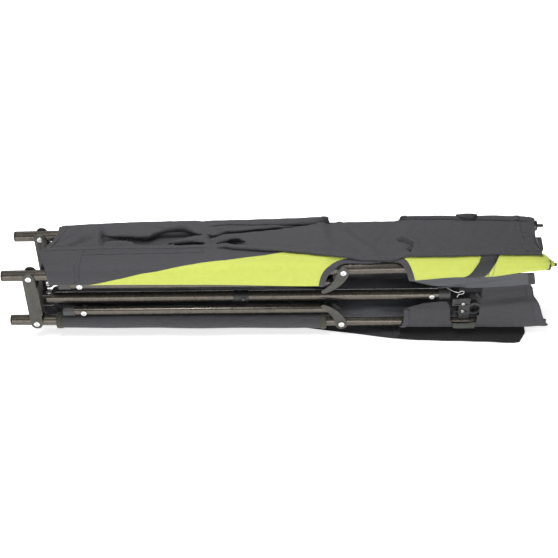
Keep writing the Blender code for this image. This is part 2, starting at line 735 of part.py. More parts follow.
# Strap across the near upper sleeve, webbing tab, and the clip at the centre leg's foot
def cross_strap(pivot):
    grow = SOFT_GAP + STRAP_THICKNESS
    rings = []
    for x in (STRAP_X - STRAP_WIDTH / 2, STRAP_X + STRAP_WIDTH / 2):
        rings.append(sleeve_loop(x, SLEEVE_SIDE + grow, SLEEVE_OUTWARD + grow, SLEEVE_INWARD_LOOSE + grow, 1))
    lean = STRAP_LEAN / (2 * SLEEVE_OUTWARD)
    rings = [[(x + z * lean, y, z) for x, y, z in ring] for ring in rings]
    obj = loft("cross_strap", rings, WEBBING, pivot)
    inner = []
    room = SOFT_GAP
    for x in (STRAP_X - 2 * STRAP_WIDTH, STRAP_X + 2 * STRAP_WIDTH):
        inner.append(sleeve_loop(x, SLEEVE_SIDE + room, SLEEVE_OUTWARD + room, SLEEVE_INWARD_LOOSE + room, 1))
    core = loft("strap_core", inner, WEBBING, pivot)
    parts.objects.unlink(core)
    cutters.objects.link(core)
    cut(obj, core)
    reach = 2 * SLEEVE_INWARD_LOOSE
    back = box_cutter("strap_back", (0, 2 * MM, -reach), (RAIL_LENGTH, reach, reach), pivot)
    return cut(obj, back)


def end_tab(root):
    outline = [(0, 0), (TAB_LENGTH, 2 * MM), (TAB_LENGTH, TAB_WIDTH), (0, TAB_WIDTH)]
    curve = outline_curve("end_tab_outline", [outline], TAB_THICKNESS)
    place = (FABRIC_END + GAP, FRAME_GAP / 2 - TAB_WIDTH / 2, UPPER_FABRIC_TOP + TAB_RISE)
    return keep(mesh_of_curve("end_tab", curve, place, (0, 0, 0), root), WEBBING)


def foot_clip(root):
    """A block on the lower rail with an arm behind the centre leg's foot, through a gap in the sleeve."""
    rail_top = -PIVOT_HEIGHT - CLIP_BODY_START * RAIL_RISE + RAIL_RADIUS + SOFT_GAP
    half = CLIP_WIDTH / 2
    low, high = (CLIP_BODY_START, -half, rail_top), (CLIP_BODY_END, half, CLIP_TOP)
    body = box_cutter("foot_clip", low, high, root)
    cutters.objects.unlink(body)
    y_leg, z_leg = centre_leg_y(NEAR), centre_leg_z(NEAR)
    low = (CLIP_ARM_START, -half, z_leg - half)
    high = (CLIP_BODY_START + CLIP_WALL, y_leg + half, z_leg + half - CLIP_ARM_STEP)
    cut(body, box_cutter("clip_arm", low, high, root), "UNION")
    return keep(body, BLACK_PLASTIC)


def clip_window(obj, pivot):
    """Opens the sleeve's inward side round the clip."""
    reach = 2 * SLEEVE_INWARD_LOOSE
    low = (CLIP_ARM_START - CLIP_ROOM, -reach, -SOFT_GAP)
    high = (CLIP_BODY_END + CLIP_ROOM, reach, reach)
    cut(obj, box_cutter("clip_window", low, high, pivot))


# The whole cot
def build_cot():
    root = empty("cot", (0, 0, 0), None)
    for frame in (NEAR, FAR):
        hub_plates(frame, root)
        hub_rivets(frame, root)
        hub_bracket(frame, root)
        centre_pin(frame, root)
        centre_leg(frame, root)
    folds, pivots, sleeves = {}, {}, {}
    for frame in (NEAR, FAR):
        for level, up in UP_SIGN.items():
            fold = empty(f"{frame}_{level}_fold", (0, frame_y(frame), up * PIVOT_HEIGHT), root)
            pivot = empty(f"{frame}_{level}_rail_line", (0, 0, 0), fold, up * RAIL_TILT)
            back = (0, -frame_y(frame), -up * PIVOT_HEIGHT)
            folds[frame, level] = empty(f"{frame}_{level}_folded", back, fold)
            rail(frame, level, pivot)
            end_leg(frame, level, pivot)
            mat = LIME_FABRIC if (frame, level) == (NEAR, UPPER) else GREY_FABRIC
            sleeves[frame, level] = sleeve(frame, level, pivot, mat)
            pivots[frame, level] = pivot
    upper_fabric(folds[NEAR, UPPER])
    end_tab(folds[NEAR, UPPER])
    cross_strap(pivots[NEAR, UPPER])
    lower_fabric(folds[NEAR, LOWER])
    black_panel(folds[NEAR, LOWER])
    foot_clip(folds[NEAR, LOWER])
    clip_window(sleeves[NEAR, LOWER], pivots[NEAR, LOWER])
    return root


# The origin is under the middle of the bundle, on the ground
cot = build_cot()
bpy.context.view_layer.update()
lowest, highest = bounds_of([obj for obj in parts.objects if obj.type != "EMPTY"])
cot.location = [-(lowest[0] + highest[0]) / 2, -(lowest[1] + highest[1]) / 2, -lowest[2]]
bpy.context.view_layer.update()
print("hub at", [round(value, 5) for value in cot.location])
print("nodes", len([obj for obj in parts.objects if obj.type != "EMPTY"]))
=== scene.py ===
"""The looks of a folding camping cot, folded into its bundle.

Lengths in the cot's own directions are in millimetres from the near hub's middle: X along the rails,
N from the near frame to the far one, V up from half height. spot() turns them into metres in the frame.
"""

import json
import math

import bmesh
import bpy
import numpy as np
from mathutils import Matrix, Vector

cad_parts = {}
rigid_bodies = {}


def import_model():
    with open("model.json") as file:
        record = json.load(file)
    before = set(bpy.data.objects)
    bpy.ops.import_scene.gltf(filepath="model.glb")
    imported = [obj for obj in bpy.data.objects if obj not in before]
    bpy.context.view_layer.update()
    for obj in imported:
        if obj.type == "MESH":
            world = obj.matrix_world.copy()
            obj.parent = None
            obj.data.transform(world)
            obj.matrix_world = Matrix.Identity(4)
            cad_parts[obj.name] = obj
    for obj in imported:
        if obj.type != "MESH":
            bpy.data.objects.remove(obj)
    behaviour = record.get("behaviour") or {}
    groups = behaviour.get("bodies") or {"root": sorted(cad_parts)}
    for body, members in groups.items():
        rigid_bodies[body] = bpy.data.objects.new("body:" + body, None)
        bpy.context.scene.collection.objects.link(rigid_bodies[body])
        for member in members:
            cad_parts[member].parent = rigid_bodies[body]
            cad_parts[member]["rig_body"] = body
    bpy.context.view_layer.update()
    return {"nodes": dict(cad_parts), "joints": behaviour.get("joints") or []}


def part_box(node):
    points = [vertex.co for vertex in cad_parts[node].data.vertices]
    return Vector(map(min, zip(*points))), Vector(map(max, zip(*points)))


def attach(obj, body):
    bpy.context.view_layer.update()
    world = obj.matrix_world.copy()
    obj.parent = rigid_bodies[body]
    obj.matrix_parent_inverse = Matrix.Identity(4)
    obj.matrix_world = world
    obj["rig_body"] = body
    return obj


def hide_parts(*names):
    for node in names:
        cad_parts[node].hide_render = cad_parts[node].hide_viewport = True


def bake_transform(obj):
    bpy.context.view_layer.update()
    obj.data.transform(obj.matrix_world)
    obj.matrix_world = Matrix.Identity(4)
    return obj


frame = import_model()
NODES = frame["nodes"]
JOINT = {joint["name"]: joint for joint in frame["joints"]}

# Where the hub is, from the joints
UPPER_PIVOT = Vector(JOINT["upper_fold"]["pos_m"])
LOWER_PIVOT = Vector(JOINT["lower_fold"]["pos_m"])
HUB = (UPPER_PIVOT + LOWER_PIVOT) / 2
PIVOT_HEIGHT = (UPPER_PIVOT.z - LOWER_PIVOT.z) * 500
RISE = math.tan(math.radians(0.8))
FRAME_GAP = 120.0
GROUND = -90.0


def spot(x, n, v):
    """A place in the cot's own directions, in millimetres, as metres in the frame."""
    return Vector((HUB.x + x / 1000, HUB.y + n / 1000, HUB.z + v / 1000))


def rail_height(x):
    """Height of the upper rails' middle line over half height."""
    return PIVOT_HEIGHT + RISE * x


def add_object(name, data):
    obj = bpy.data.objects.new(name, data)
    bpy.context.scene.collection.objects.link(obj)
    return obj


def clear_selection():
    if bpy.context.object is not None and bpy.context.object.mode != "OBJECT":
        bpy.ops.object.mode_set(mode="OBJECT")
    bpy.ops.object.select_all(action="DESELECT")


def choose(obj):
    """Selects one piece alone and makes it the active one."""
    clear_selection()
    obj.select_set(True)
    bpy.context.view_layer.objects.active = obj


# Camera
def place_camera():
    data = bpy.data.cameras.new("photo_camera")
    camera = add_object("photo_camera", data)
    data.lens = 66.45
    data.sensor_width = 36
    data.clip_start, data.clip_end = 0.05, 50
    pitch, roll = math.radians(38.27), math.radians(-0.56)
    ahead = Vector((0, math.cos(pitch), -math.sin(pitch)))
    level = Vector((1, 0, 0))
    above = level.cross(ahead)
    right = level * math.cos(roll) + above * math.sin(roll)
    up = above * math.cos(roll) - level * math.sin(roll)
    turn = Matrix((right, up, -ahead)).transposed().to_4x4()
    camera.matrix_world = Matrix.Translation((-0.0006, -1.498, 1.2725)) @ turn
    bpy.context.scene.camera = camera


place_camera()


# Studio
def area_light(name, place, aim, size, power):
    data = bpy.data.lights.new(name, "AREA")
    data.shape = "RECTANGLE"
    data.size, data.size_y = size
    data.energy = power
    light = add_object(name, data)
    light.location = place
    light.rotation_euler = (Vector(aim) - Vector(place)).to_track_quat("-Z", "Y").to_euler()


def studio():
    scene = bpy.context.scene
    scene.view_settings.view_transform = "Standard"
    world = bpy.data.worlds.new("studio")
    scene.world = world
    world.use_nodes = True
    sky = world.node_tree.nodes["Background"]
    sky.inputs["Color"].default_value = (1, 1, 1, 1)
    sky.inputs["Strength"].default_value = 0.16
    area_light("overhead", (-0.25, 0.05, 1.7), (0, 0, 0.05), (1.9, 0.28), 40)
    area_light("front_left", (-0.9, -1.9, 0.5), (0, 0, 0.08), (1.8, 0.8), 15)
    area_light("front_right", (0.9, -1.9, 0.5), (0.1, 0, 0.08), (1.8, 0.8), 19)
    area_light("behind", (0, 2.6, 2.2), (0, 3.4, 0), (3.0, 1.5), 60)
    clear_selection()
    bpy.ops.mesh.primitive_plane_add(size=14, location=(0, 0, -0.0004))
    floor = bpy.context.object
    floor.name = "floor"
    paint = bpy.data.materials.new("floor_paper")
    paint.use_nodes = True
    shader = paint.node_tree.nodes["Principled BSDF"]
    shader.inputs["Base Color"].default_value = (0.93, 0.93, 0.93, 1)
    shader.inputs["Roughness"].default_value = 0.9
    shader.inputs["Specular IOR Level"].default_value = 0.1
    shader.inputs["Emission Color"].default_value = (1, 1, 1, 1)
    shader.inputs["Emission Strength"].default_value = 0.6
    floor.data.materials.append(paint)


studio()


# Shader node groups
def new_group(name, inputs, outputs):
    group = bpy.data.node_groups.new(name, "ShaderNodeTree")
    for label, kind, value in inputs:
        socket = group.interface.new_socket(label, in_out="INPUT", socket_type=kind)
        socket.default_value = value
    for label, kind in outputs:
        group.interface.new_socket(label, in_out="OUTPUT", socket_type=kind)
    return group, group.nodes.new("NodeGroupInput"), group.nodes.new("NodeGroupOutput")


def add_node(tree, kind, values=None, links=None, **settings):
    node = tree.nodes.new(kind)
    for key, value in settings.items():
        setattr(node, key, value)
    for key, value in (values or {}).items():
        node.inputs[key].default_value = value
    for key, source in (links or {}).items():
        tree.links.new(source, node.inputs[key])
    return node


def math_node(tree, operation, first, second=None, clamp=False):
    node = tree.nodes.new("ShaderNodeMath")
    node.operation = operation
    node.use_clamp = clamp
    for socket, source in zip(node.inputs, (first, second)):
        if isinstance(source, (int, float)):
            socket.default_value = source
        elif source is not None:
            tree.links.new(source, socket)
    return node.outputs[0]


def mix_colour(tree, factor, first, second, blend="MIX"):
    node = tree.nodes.new("ShaderNodeMix")
    node.data_type = "RGBA"
    node.blend_type = blend
    for index, source in ((0, factor), (6, first), (7, second)):
        if isinstance(source, (int, float, tuple)):
            node.inputs[index].default_value = source
        else:
            tree.links.new(source, node.inputs[index])
    return node.outputs[2]


def weave_group():
    """A plain weave on the piece's UV map, which is in metres: warp over weft, then weft over warp."""
    inputs = [("Threads per metre", "NodeSocketFloat", 1300.0)]
    tree, given, result = new_group("plain_weave", inputs, [("Height", "NodeSocketFloat")])
    place = add_node(tree, "ShaderNodeTexCoord").outputs["UV"]
    axes = add_node(tree, "ShaderNodeSeparateXYZ", links={0: place})
    waves = []
    for axis in (0, 1):
        turns = math_node(tree, "MULTIPLY", axes.outputs[axis], given.outputs[0])
        waves.append(math_node(tree, "ABSOLUTE", math_node(tree, "SINE",
            math_node(tree, "MULTIPLY", turns, math.pi))))
    check = add_node(tree, "ShaderNodeTexChecker", links={"Vector": place, "Scale": given.outputs[0]})
    over = math_node(tree, "MULTIPLY", waves[0], check.outputs["Fac"])
    left = math_node(tree, "SUBTRACT", 1.0, check.outputs["Fac"])
    under = math_node(tree, "MULTIPLY", waves[1], left)
    tree.links.new(math_node(tree, "ADD", over, under), result.inputs[0])
    return tree


def tone_group():
    """Slow changes of shade over a surface: broad fading and finer mottling."""
    inputs = [
        ("Colour", "NodeSocketColor", (0.5, 0.5, 0.5, 1)),
        ("Fade", "NodeSocketFloat", 0.15),
        ("Mottle", "NodeSocketFloat", 0.1),
    ]
    tree, given, result = new_group("shade_changes", inputs, [("Colour", "NodeSocketColor")])
    place = add_node(tree, "ShaderNodeTexCoord").outputs["Object"]
    colour = given.outputs["Colour"]
    for scale, strength in ((7.0, "Fade"), (90.0, "Mottle")):
        noise = add_node(tree, "ShaderNodeTexNoise", {"Scale": scale, "Detail": 4.0}, {"Vector": place})
        spread = math_node(tree, "SUBTRACT", noise.outputs["Fac"], 0.5)
        change = math_node(tree, "MULTIPLY", spread, given.outputs[strength])
        factor = math_node(tree, "ADD", math_node(tree, "MULTIPLY", change, 2.0), 1.0)
        grey = add_node(tree, "ShaderNodeCombineColor", links={0: factor, 1: factor, 2: factor}).outputs[0]
        colour = mix_colour(tree, 1.0, colour, grey, "MULTIPLY")
    tree.links.new(colour, result.inputs[0])
    return tree


def crumple_group():
    """Fine soft wrinkles of worn cloth, as a height."""
    inputs = [("Scale", "NodeSocketFloat", 60.0)]
    tree, given, result = new_group("cloth_wrinkles", inputs, [("Height", "NodeSocketFloat")])
    place = add_node(tree, "ShaderNodeTexCoord").outputs["Object"]
    stretch = add_node(tree, "ShaderNodeMapping", {"Scale": (0.45, 1.0, 1.0)}, {"Vector": place})
    broad = add_node(
        tree,
        "ShaderNodeTexNoise",
        {"Detail": 3.0, "Distortion": 0.6},
        {"Vector": stretch.outputs[0], "Scale": given.outputs[0]},
    )
    ridge = math_node(tree, "ABSOLUTE", math_node(tree, "SUBTRACT", broad.outputs["Fac"], 0.5))
    drawn = add_node(tree, "ShaderNodeMapping", {"Scale": (0.07, 0.8, 0.8)}, {"Vector": place})
    drape = add_node(
        tree, "ShaderNodeTexNoise", {"Detail": 2.0}, {"Vector": drawn.outputs[0], "Scale": given.outputs[0]}
    )
    both = math_node(tree, "ADD", broad.outputs["Fac"], drape.outputs["Fac"])
    tree.links.new(math_node(tree, "SUBTRACT", both, ridge), result.inputs[0])
    return tree


def streak_group():
    """Fine lines along a drawn tube, with scuffs: 0 where polished, 1 where dull."""
    inputs = [("Along", "NodeSocketFloat", 6.0), ("Across", "NodeSocketFloat", 900.0)]
    tree, given, result = new_group("drawn_streaks", inputs, [("Mask", "NodeSocketFloat")])
    place = add_node(tree, "ShaderNodeTexCoord").outputs["Object"]
    along, across = given.outputs["Along"], given.outputs["Across"]
    scale = add_node(tree, "ShaderNodeCombineXYZ", links={0: along, 1: across, 2: across}).outputs[0]
    lines = add_node(tree, "ShaderNodeVectorMath", links={0: place, 1: scale},
        operation="MULTIPLY").outputs[0]
    drawn = add_node(tree, "ShaderNodeTexNoise", {"Scale": 1.0, "Detail": 3.0}, {"Vector": lines})
    scuff = add_node(tree, "ShaderNodeTexNoise", {"Scale": 45.0, "Detail": 6.0, "Roughness": 0.7},
        {"Vector": place})
    both = math_node(tree, "MULTIPLY", drawn.outputs["Fac"], scuff.outputs["Fac"])
    tree.links.new(math_node(tree, "MULTIPLY", both, 2.0, clamp=True), result.inputs[0])
    return tree


def wear_group():
    """Where raised edges are rubbed bare, broken up by a noise."""
    inputs = [("Amount", "NodeSocketFloat", 0.5)]
    tree, given, result = new_group("edge_wear", inputs, [("Mask", "NodeSocketFloat")])
    raised = add_node(tree, "ShaderNodeNewGeometry").outputs["Pointiness"]
    edge = add_node(tree, "ShaderNodeMapRange", {"From Min": 0.52, "From Max": 0.62}, {"Value": raised})
    place = add_node(tree, "ShaderNodeTexCoord").outputs["Object"]
    noise = add_node(tree, "ShaderNodeTexNoise", {"Scale": 160.0, "Detail": 5.0}, {"Vector": place})
    broken = add_node(tree, "ShaderNodeMapRange", {"From Min": 0.4, "From Max": 0.65},
        {"Value": noise.outputs["Fac"]})
    rubbed = math_node(tree, "MULTIPLY", edge.outputs[0], broken.outputs[0])
    tree.links.new(math_node(tree, "MULTIPLY", rubbed, given.outputs[0], clamp=True), result.inputs[0])
    return tree


def grain_group():
    """The fine pebbled grain of moulded plastic and sprayed paint, as a height."""
    inputs = [("Scale", "NodeSocketFloat", 1400.0)]
    tree, given, result = new_group("fine_grain", inputs, [("Height", "NodeSocketFloat")])
    place = add_node(tree, "ShaderNodeTexCoord").outputs["Object"]
    cells = add_node(tree, "ShaderNodeTexVoronoi", links={"Vector": place, "Scale": given.outputs[0]})
    noise = add_node(tree, "ShaderNodeTexNoise", {"Detail": 3.0},
        {"Vector": place, "Scale": given.outputs[0]})
    tree.links.new(math_node(tree, "ADD", cells.outputs["Distance"], noise.outputs["Fac"]),
        result.inputs[0])
    return tree


WEAVE, TONE, CRUMPLE = weave_group(), tone_group(), crumple_group()
STREAKS, WEAR, GRAIN = streak_group(), wear_group(), grain_group()


def use_group(tree, group, **values):
    node = tree.nodes.new("ShaderNodeGroup")
    node.node_tree = group
    for key, value in values.items():
        node.inputs[key.replace("_", " ")].default_value = value
    return node


def start_material(name, roughness, metallic, **constants):
    mat = bpy.data.materials.new(name)
    mat.use_nodes = True
    shader = mat.node_tree.nodes["Principled BSDF"]
    shader.inputs["Roughness"].default_value = roughness
    shader.inputs["Metallic"].default_value = metallic
    for key, value in constants.items():
        shader.inputs[key.replace("_", " ")].default_value = value
    return mat, mat.node_tree, shader


def cloth(name, colour, threads=1300.0, roughness=0.85, wrinkle=0.35, wrinkle_scale=60.0, sheen=0.15,
    fade=0.12):
    """Woven cloth: its weave and soft wrinkles as bump, its shade slowly changing, and painted shade
    darkening the hollows of its weave.
    """
    mat, tree, shader = start_material(name, roughness, 0.0, Sheen_Weight=sheen, Sheen_Roughness=0.4)
    weave = use_group(tree, WEAVE)
    weave.inputs["Threads per metre"].default_value = threads
    wrinkles = use_group(tree, CRUMPLE, Scale=wrinkle_scale)
    tone = use_group(tree, TONE, Colour=(*colour, 1), Fade=fade, Mottle=0.08)
    # Painted shade: where the weave sinks, the colour is mixed towards a darker copy of itself, standing in
    # for the shade between threads.
    sunk = math_node(tree, "MULTIPLY", math_node(tree, "SUBTRACT", 1.0, weave.outputs[0]), 0.22)
    weave_hollow_shade = tuple(channel * 0.45 for channel in colour) + (1.0,)
    tree.links.new(mix_colour(tree, sunk, tone.outputs[0], weave_hollow_shade), shader.inputs["Base Color"])
    soft = add_node(
        tree, "ShaderNodeBump", {"Strength": wrinkle, "Distance": 0.005}, {"Height": wrinkles.outputs[0]}
    )
    fine = add_node(
        tree,
        "ShaderNodeBump",
        {"Strength": 0.35, "Distance": 0.0003},
        {"Height": weave.outputs[0], "Normal": soft.outputs[0]},
    )
    tree.links.new(fine.outputs[0], shader.inputs["Normal"])
    return mat


def metal(name, colour, bare, roughness, metallic, wear=0.4, across=900.0, grain=0.0):
    """Coated or plain metal with drawn streaks, worn edges and, where sprayed, a fine grain."""
    mat, tree, shader = start_material(name, roughness, metallic)
    streaks = use_group(tree, STREAKS, Across=across)
    rubbed = use_group(tree, WEAR, Amount=wear)
    tone = use_group(tree, TONE, Colour=(*colour, 1), Fade=0.12, Mottle=0.12)
    lined = mix_colour(tree, math_node(tree, "MULTIPLY", streaks.outputs[0], 0.3), tone.outputs[0],
        (*bare, 1))
    tree.links.new(mix_colour(tree, rubbed.outputs[0], lined, (*bare, 1)), shader.inputs["Base Color"])
    dull = math_node(tree, "MULTIPLY", streaks.outputs[0], 0.2)
    tree.links.new(math_node(tree, "ADD", dull, roughness - 0.06), shader.inputs["Roughness"])
    height = use_group(tree, GRAIN).outputs[0] if grain else streaks.outputs[0]
    strength = grain or 0.06
    bump = add_node(tree, "ShaderNodeBump", {"Strength": strength, "Distance": 0.0003}, {"Height": height})
    tree.links.new(bump.outputs[0], shader.inputs["Normal"])
    return mat


def plastic(name, colour, roughness, wear=0.3, grain=0.2):
    """Moulded plastic with a fine grain and pale rubbed edges."""
    mat, tree, shader = start_material(name, roughness, 0.0)
    tone = use_group(tree, TONE, Colour=(*colour, 1), Fade=0.1, Mottle=0.15)
    rubbed = use_group(tree, WEAR, Amount=wear)
    pale = tuple(min(1.0, channel * 3 + 0.05) for channel in colour) + (1.0,)
    tree.links.new(mix_colour(tree, rubbed.outputs[0], tone.outputs[0], pale), shader.inputs["Base Color"])
    bump = add_node(
        tree,
        "ShaderNodeBump",
        {"Strength": grain, "Distance": 0.0002},
        {"Height": use_group(tree, GRAIN).outputs[0]},
    )
    tree.links.new(bump.outputs[0], shader.inputs["Normal"])
    return mat


GREY = cloth("grey_polyester", (0.032, 0.0315, 0.036), 1250.0, 0.8, 0.5, sheen=0.08)
GREY_INNER = cloth("grey_polyester_inside", (0.030, 0.030, 0.036), 1250.0, 0.78, 0.45, 45.0)
GREY_SHINY = cloth("grey_coated_side", (0.048, 0.050, 0.057), 1250.0, 0.48, 0.35, 50.0, sheen=0.0)
LIME = cloth("lime_polyester", (0.43, 0.485, 0.080), 1250.0, 0.8, 0.22, sheen=0.06, fade=0.05)
BLACK = cloth("black_lining", (0.013, 0.013, 0.0135), 900.0, 0.85, 0.3)
BINDING = cloth("bound_edge_tape", (0.035, 0.032, 0.040), 900.0, 0.8, 0.15)
WEBBING = cloth("black_webbing", (0.013, 0.013, 0.015), 520.0, 0.75, 0.1)
THREAD = cloth("sewing_thread", (0.030, 0.030, 0.035), 3000.0, 0.7, 0.0)
OLIVE_TRIM = cloth("olive_hem", (0.040, 0.039, 0.024), 900.0, 0.85, 0.1)
PAD = cloth("pad_cloth", (0.042, 0.046, 0.039), 700.0, 0.9, 0.3)
BRONZE = metal("bronze_tube_finish", (0.066, 0.058, 0.049), (0.17, 0.155, 0.135), 0.24, 0.8, wear=0.3)
PLATE = metal("bronze_plate_finish", (0.028, 0.027, 0.023), (0.17, 0.165, 0.145), 0.46, 0.45, wear=0.7,
    across=70.0, grain=0.3)
STEEL = metal("bright_steel", (0.62, 0.62, 0.61), (0.8, 0.8, 0.8), 0.3, 0.85, wear=0.2, across=300.0)
BLACK_PLASTIC = plastic("black_plastic_finish", (0.0045, 0.0045, 0.005), 0.5)
GREY_PLASTIC = plastic("grey_plastic_finish", (0.036, 0.036, 0.037), 0.5)


# Mesh helpers
def verts_of(node):
    mesh = NODES[node].data
    co = np.empty(len(mesh.vertices) * 3)
    mesh.vertices.foreach_get("co", co)
    return co.reshape(-1, 3)


def ends_of(node):
    """The two ends of a node's middle line, found from its outermost vertices along X."""
    co = verts_of(node)
    ends = []
    for pick in (co[:, 0].min(), co[:, 0].max()):
        near = co[np.abs(co[:, 0] - pick) < 0.0006]
        ends.append(Vector((near.min(0) + near.max(0)) / 2))
    return ends


def body_of(node):
    return NODES[node]["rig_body"]


def finished(obj, name, mat, body, slot, *nodes, angle=40):
    """Names, shades and paints a piece, lets it ride, and puts it in place of CAD nodes."""
    choose(obj)
    obj.name = obj.data.name = name
    obj.data.materials.clear()
    obj.data.materials.append(mat)
    bpy.ops.object.transform_apply(location=True, rotation=True, scale=True)
    if angle >= 180:
        bpy.ops.object.shade_smooth()
    else:
        bpy.ops.object.shade_smooth_by_angle(angle=math.radians(angle))
    if body is not None:
        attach(obj, body)
    if nodes:
        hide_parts(*nodes)
    obj.select_set(False)
    return obj


def turned(centre, axis, profile, sides=48, closed=True):
    """Extrudes a circle ring by ring. The profile is (radius, height) in mm along the axis."""
    clear_selection()
    radius, height = profile[0]
    bpy.ops.mesh.primitive_circle_add(
        vertices=sides, radius=radius / 1000, fill_type="NGON" if closed else "NOTHING",
        location=(0, 0, height / 1000)
    )
    obj = bpy.context.object
    bpy.ops.object.transform_apply(location=True, rotation=True, scale=True)
    bpy.ops.object.mode_set(mode="EDIT")
    for (old, low), (new, high) in zip(profile, profile[1:]):
        bpy.ops.mesh.extrude_region_move(TRANSFORM_OT_translate={"value": (0, 0, (high - low) / 1000)})
        grow = new / old
        bpy.ops.transform.resize(value=(grow, grow, 1), center_override=(0, 0, high / 1000))
    bpy.ops.mesh.select_all(action="SELECT")
    bpy.ops.mesh.remove_doubles(threshold=0.000001)
    bpy.ops.mesh.normals_make_consistent(inside=False)
    bpy.ops.object.mode_set(mode="OBJECT")
    turn = Vector((0, 0, 1)).rotation_difference(Vector(axis)).to_matrix().to_4x4()
    obj.matrix_world = Matrix.Translation(centre) @ turn
    return obj


def with_modifier(obj, kind, **settings):
    """Adds a modifier and applies it at once."""
    choose(obj)
    modifier = obj.modifiers.new(kind.lower(), kind)
    for key, value in settings.items():
        setattr(modifier, key, value)
    bpy.ops.object.modifier_apply(modifier=modifier.name)
    return obj


def bevelled(obj, width, segments=2, angle=35):
    return with_modifier(
        obj, "BEVEL", width=width / 1000, segments=segments, limit_method="ANGLE",
        angle_limit=math.radians(angle)
    )


def refined(node, name, mat, slot, width=0.5, segments=2):
    """A copy of a CAD plate with its triangles merged into flats and its edges rounded."""
    obj = add_object(name, NODES[node].data.copy())
    choose(obj)
    bpy.ops.object.mode_set(mode="EDIT")
    bpy.ops.mesh.select_all(action="SELECT")
    bpy.ops.mesh.remove_doubles(threshold=0.00002)
    bpy.ops.mesh.dissolve_limited(angle_limit=math.radians(3))
    bpy.ops.object.mode_set(mode="OBJECT")
    bevelled(obj, width, segments)
    return finished(obj, name, mat, body_of(node), slot, node)


# Tubes: hollow, their cut edges rounded
def tube(node, name, radius, wall):
    start, end = ends_of(node)
    length = (end - start).length * 1000
    ring = [(radius - wall, 0.6), (radius - 0.5, 0.0), (radius, 0.5), (radius, length - 0.5)]
    ring += [(radius - 0.5, length), (radius - wall, length - 0.6), (radius - wall, 0.6)]
    obj = turned(start, end - start, ring, closed=False)
    return finished(obj, name, BRONZE, body_of(node), "bronze_tube", node)


def frames_and_levels():
    return [(side, level) for side in ("near", "far") for level in ("upper", "lower")]


for side, level in frames_and_levels():
    tube(f"{side}_{level}_rail", f"{side}_{level}_rail_tube", 10.0, 1.2)
    tube(f"{side}_{level}_leg", f"{side}_{level}_leg_tube", 8.0, 1.2)
for side in ("near", "far"):
    tube(f"{side}_centre_leg", f"{side}_centre_leg_tube", 10.0, 1.2)


# Rivets: domed heads with a small dimple, and the shank between them
def rivet(node, name, axis, half, head=5.6, height=1.8):
    middle = (Vector(verts_of(node).min(0)) + Vector(verts_of(node).max(0))) / 2
    dome = [(0.5, height - 1.8), (2.0, height - 1.7), (2.3, height - 0.1), (2.9, height),
        (head * 0.72, height * 0.8)]
    dome += [(head * 0.93, height * 0.48), (head, height * 0.2), (head, 0.0)]
    top = [(radius, half + rise) for radius, rise in dome] + [(3.0, half)]
    profile = top + [(radius, -rise) for radius, rise in reversed(top)]
    obj = turned(middle, axis, profile, sides=32)
    return finished(obj, name, STEEL, body_of(node), "rivet_steel", node, angle=50)


def half_of(node, axis):
    low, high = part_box(node)
    return (high[axis] - low[axis]) * 500 - 1.8


for side, level in frames_and_levels():
    for part in ("hub", "leg", "foot"):
        node = f"{side}_{level}_{part}_rivet"
        rivet(node, f"{node}_domed", (0, 1, 0), half_of(node, 1))
for side in ("near", "far"):
    node = f"{side}_centre_leg_pin"
    rivet(node, f"{node}_domed", (0, 0, 1), half_of(node, 2))


# Plates, brackets and the hub brackets
for side in ("near", "far"):
    for face in ("outer", "inner"):
        refined(f"{side}_hub_{face}_plate", f"{side}_hub_{face}_link", PLATE, "bronze_plate", 0.55)
    refined(f"{side}_hub_bracket", f"{side}_hub_bracket_pressed", PLATE, "bronze_plate", 0.4)
for side, level in frames_and_levels():
    refined(f"{side}_{level}_leg_bracket", f"{side}_{level}_leg_bracket_pressed", PLATE, "bronze_plate",
        0.4)


# Plastic ends
def plug(node, name, outward):
    """A ribbed push-in plug with a rounded head, and a pin where the CAD one has a spigot."""
    start, end = ends_of(node)
    if outward < 0:
        start, end = end, start
    length = (end - start).length * 1000
    spigot = 12.0 if "spigot" in node else 0.0
    head = length - spigot
    ring = [(7.0, 0.0), (8.3, 1.0), (8.5, 2.0), (8.1, 2.6), (8.5, 3.2), (8.5, head - 3.0),
        (9.7, head - 2.8)]
    ring += [(9.7, head - 1.0), (9.2, head - 0.3), (8.4, head)]
    if spigot:
        ring += [(4.2, head), (3.6, head + 0.4), (3.0, head + 1.6), (3.0, length - 1.2),
            (2.6, length - 0.3), (1.8, length)]
    else:
        ring += [(5.6, head), (5.0, head - 0.7), (1.2, head - 0.7)]
    obj = turned(start, end - start, ring)
    return finished(obj, name, BLACK_PLASTIC, body_of(node), "black_plastic", node)


for side, level in frames_and_levels():
    plug(f"{side}_{level}_stub_plug", f"{side}_{level}_stub_plug_ribbed", -1)
    plug(f"{side}_{level}_end_spigot", f"{side}_{level}_end_pin", 1)


def foot_cap(node, name, inner, outer, outward, wall):
    """A cap over a tube's end: thin lip at the mouth, a raised ring, a rounded closed end."""
    start, end = ends_of(node)
    if outward < 0:
        start, end = end, start
    length = (end - start).length * 1000
    ring = [(inner, length - wall), (inner, 0.4), (outer - 0.6, 0.0), (outer, 0.6), (outer, 2.6),
        (outer - 0.35, 3.0)]
    ring += [(outer - 0.35, length - 4.0), (outer, length - 3.4), (outer, length - 1.8),
        (outer - 0.6, length - 0.6)]
    ring += [(outer - 1.8, length), (2.6, length), (2.0, length - 0.5)]
    obj = turned(start, end - start, ring)
    return finished(obj, name, GREY_PLASTIC, body_of(node), "grey_plastic", node)


for side, level in frames_and_levels():
    foot_cap(f"{side}_{level}_foot", f"{side}_{level}_foot_cap", 8.3, 9.5, -1, 2.1)
for side in ("near", "far"):
    foot_cap(f"{side}_centre_leg_foot", f"{side}_centre_leg_foot_cap", 10.3, 11.5, 1, 2.1)


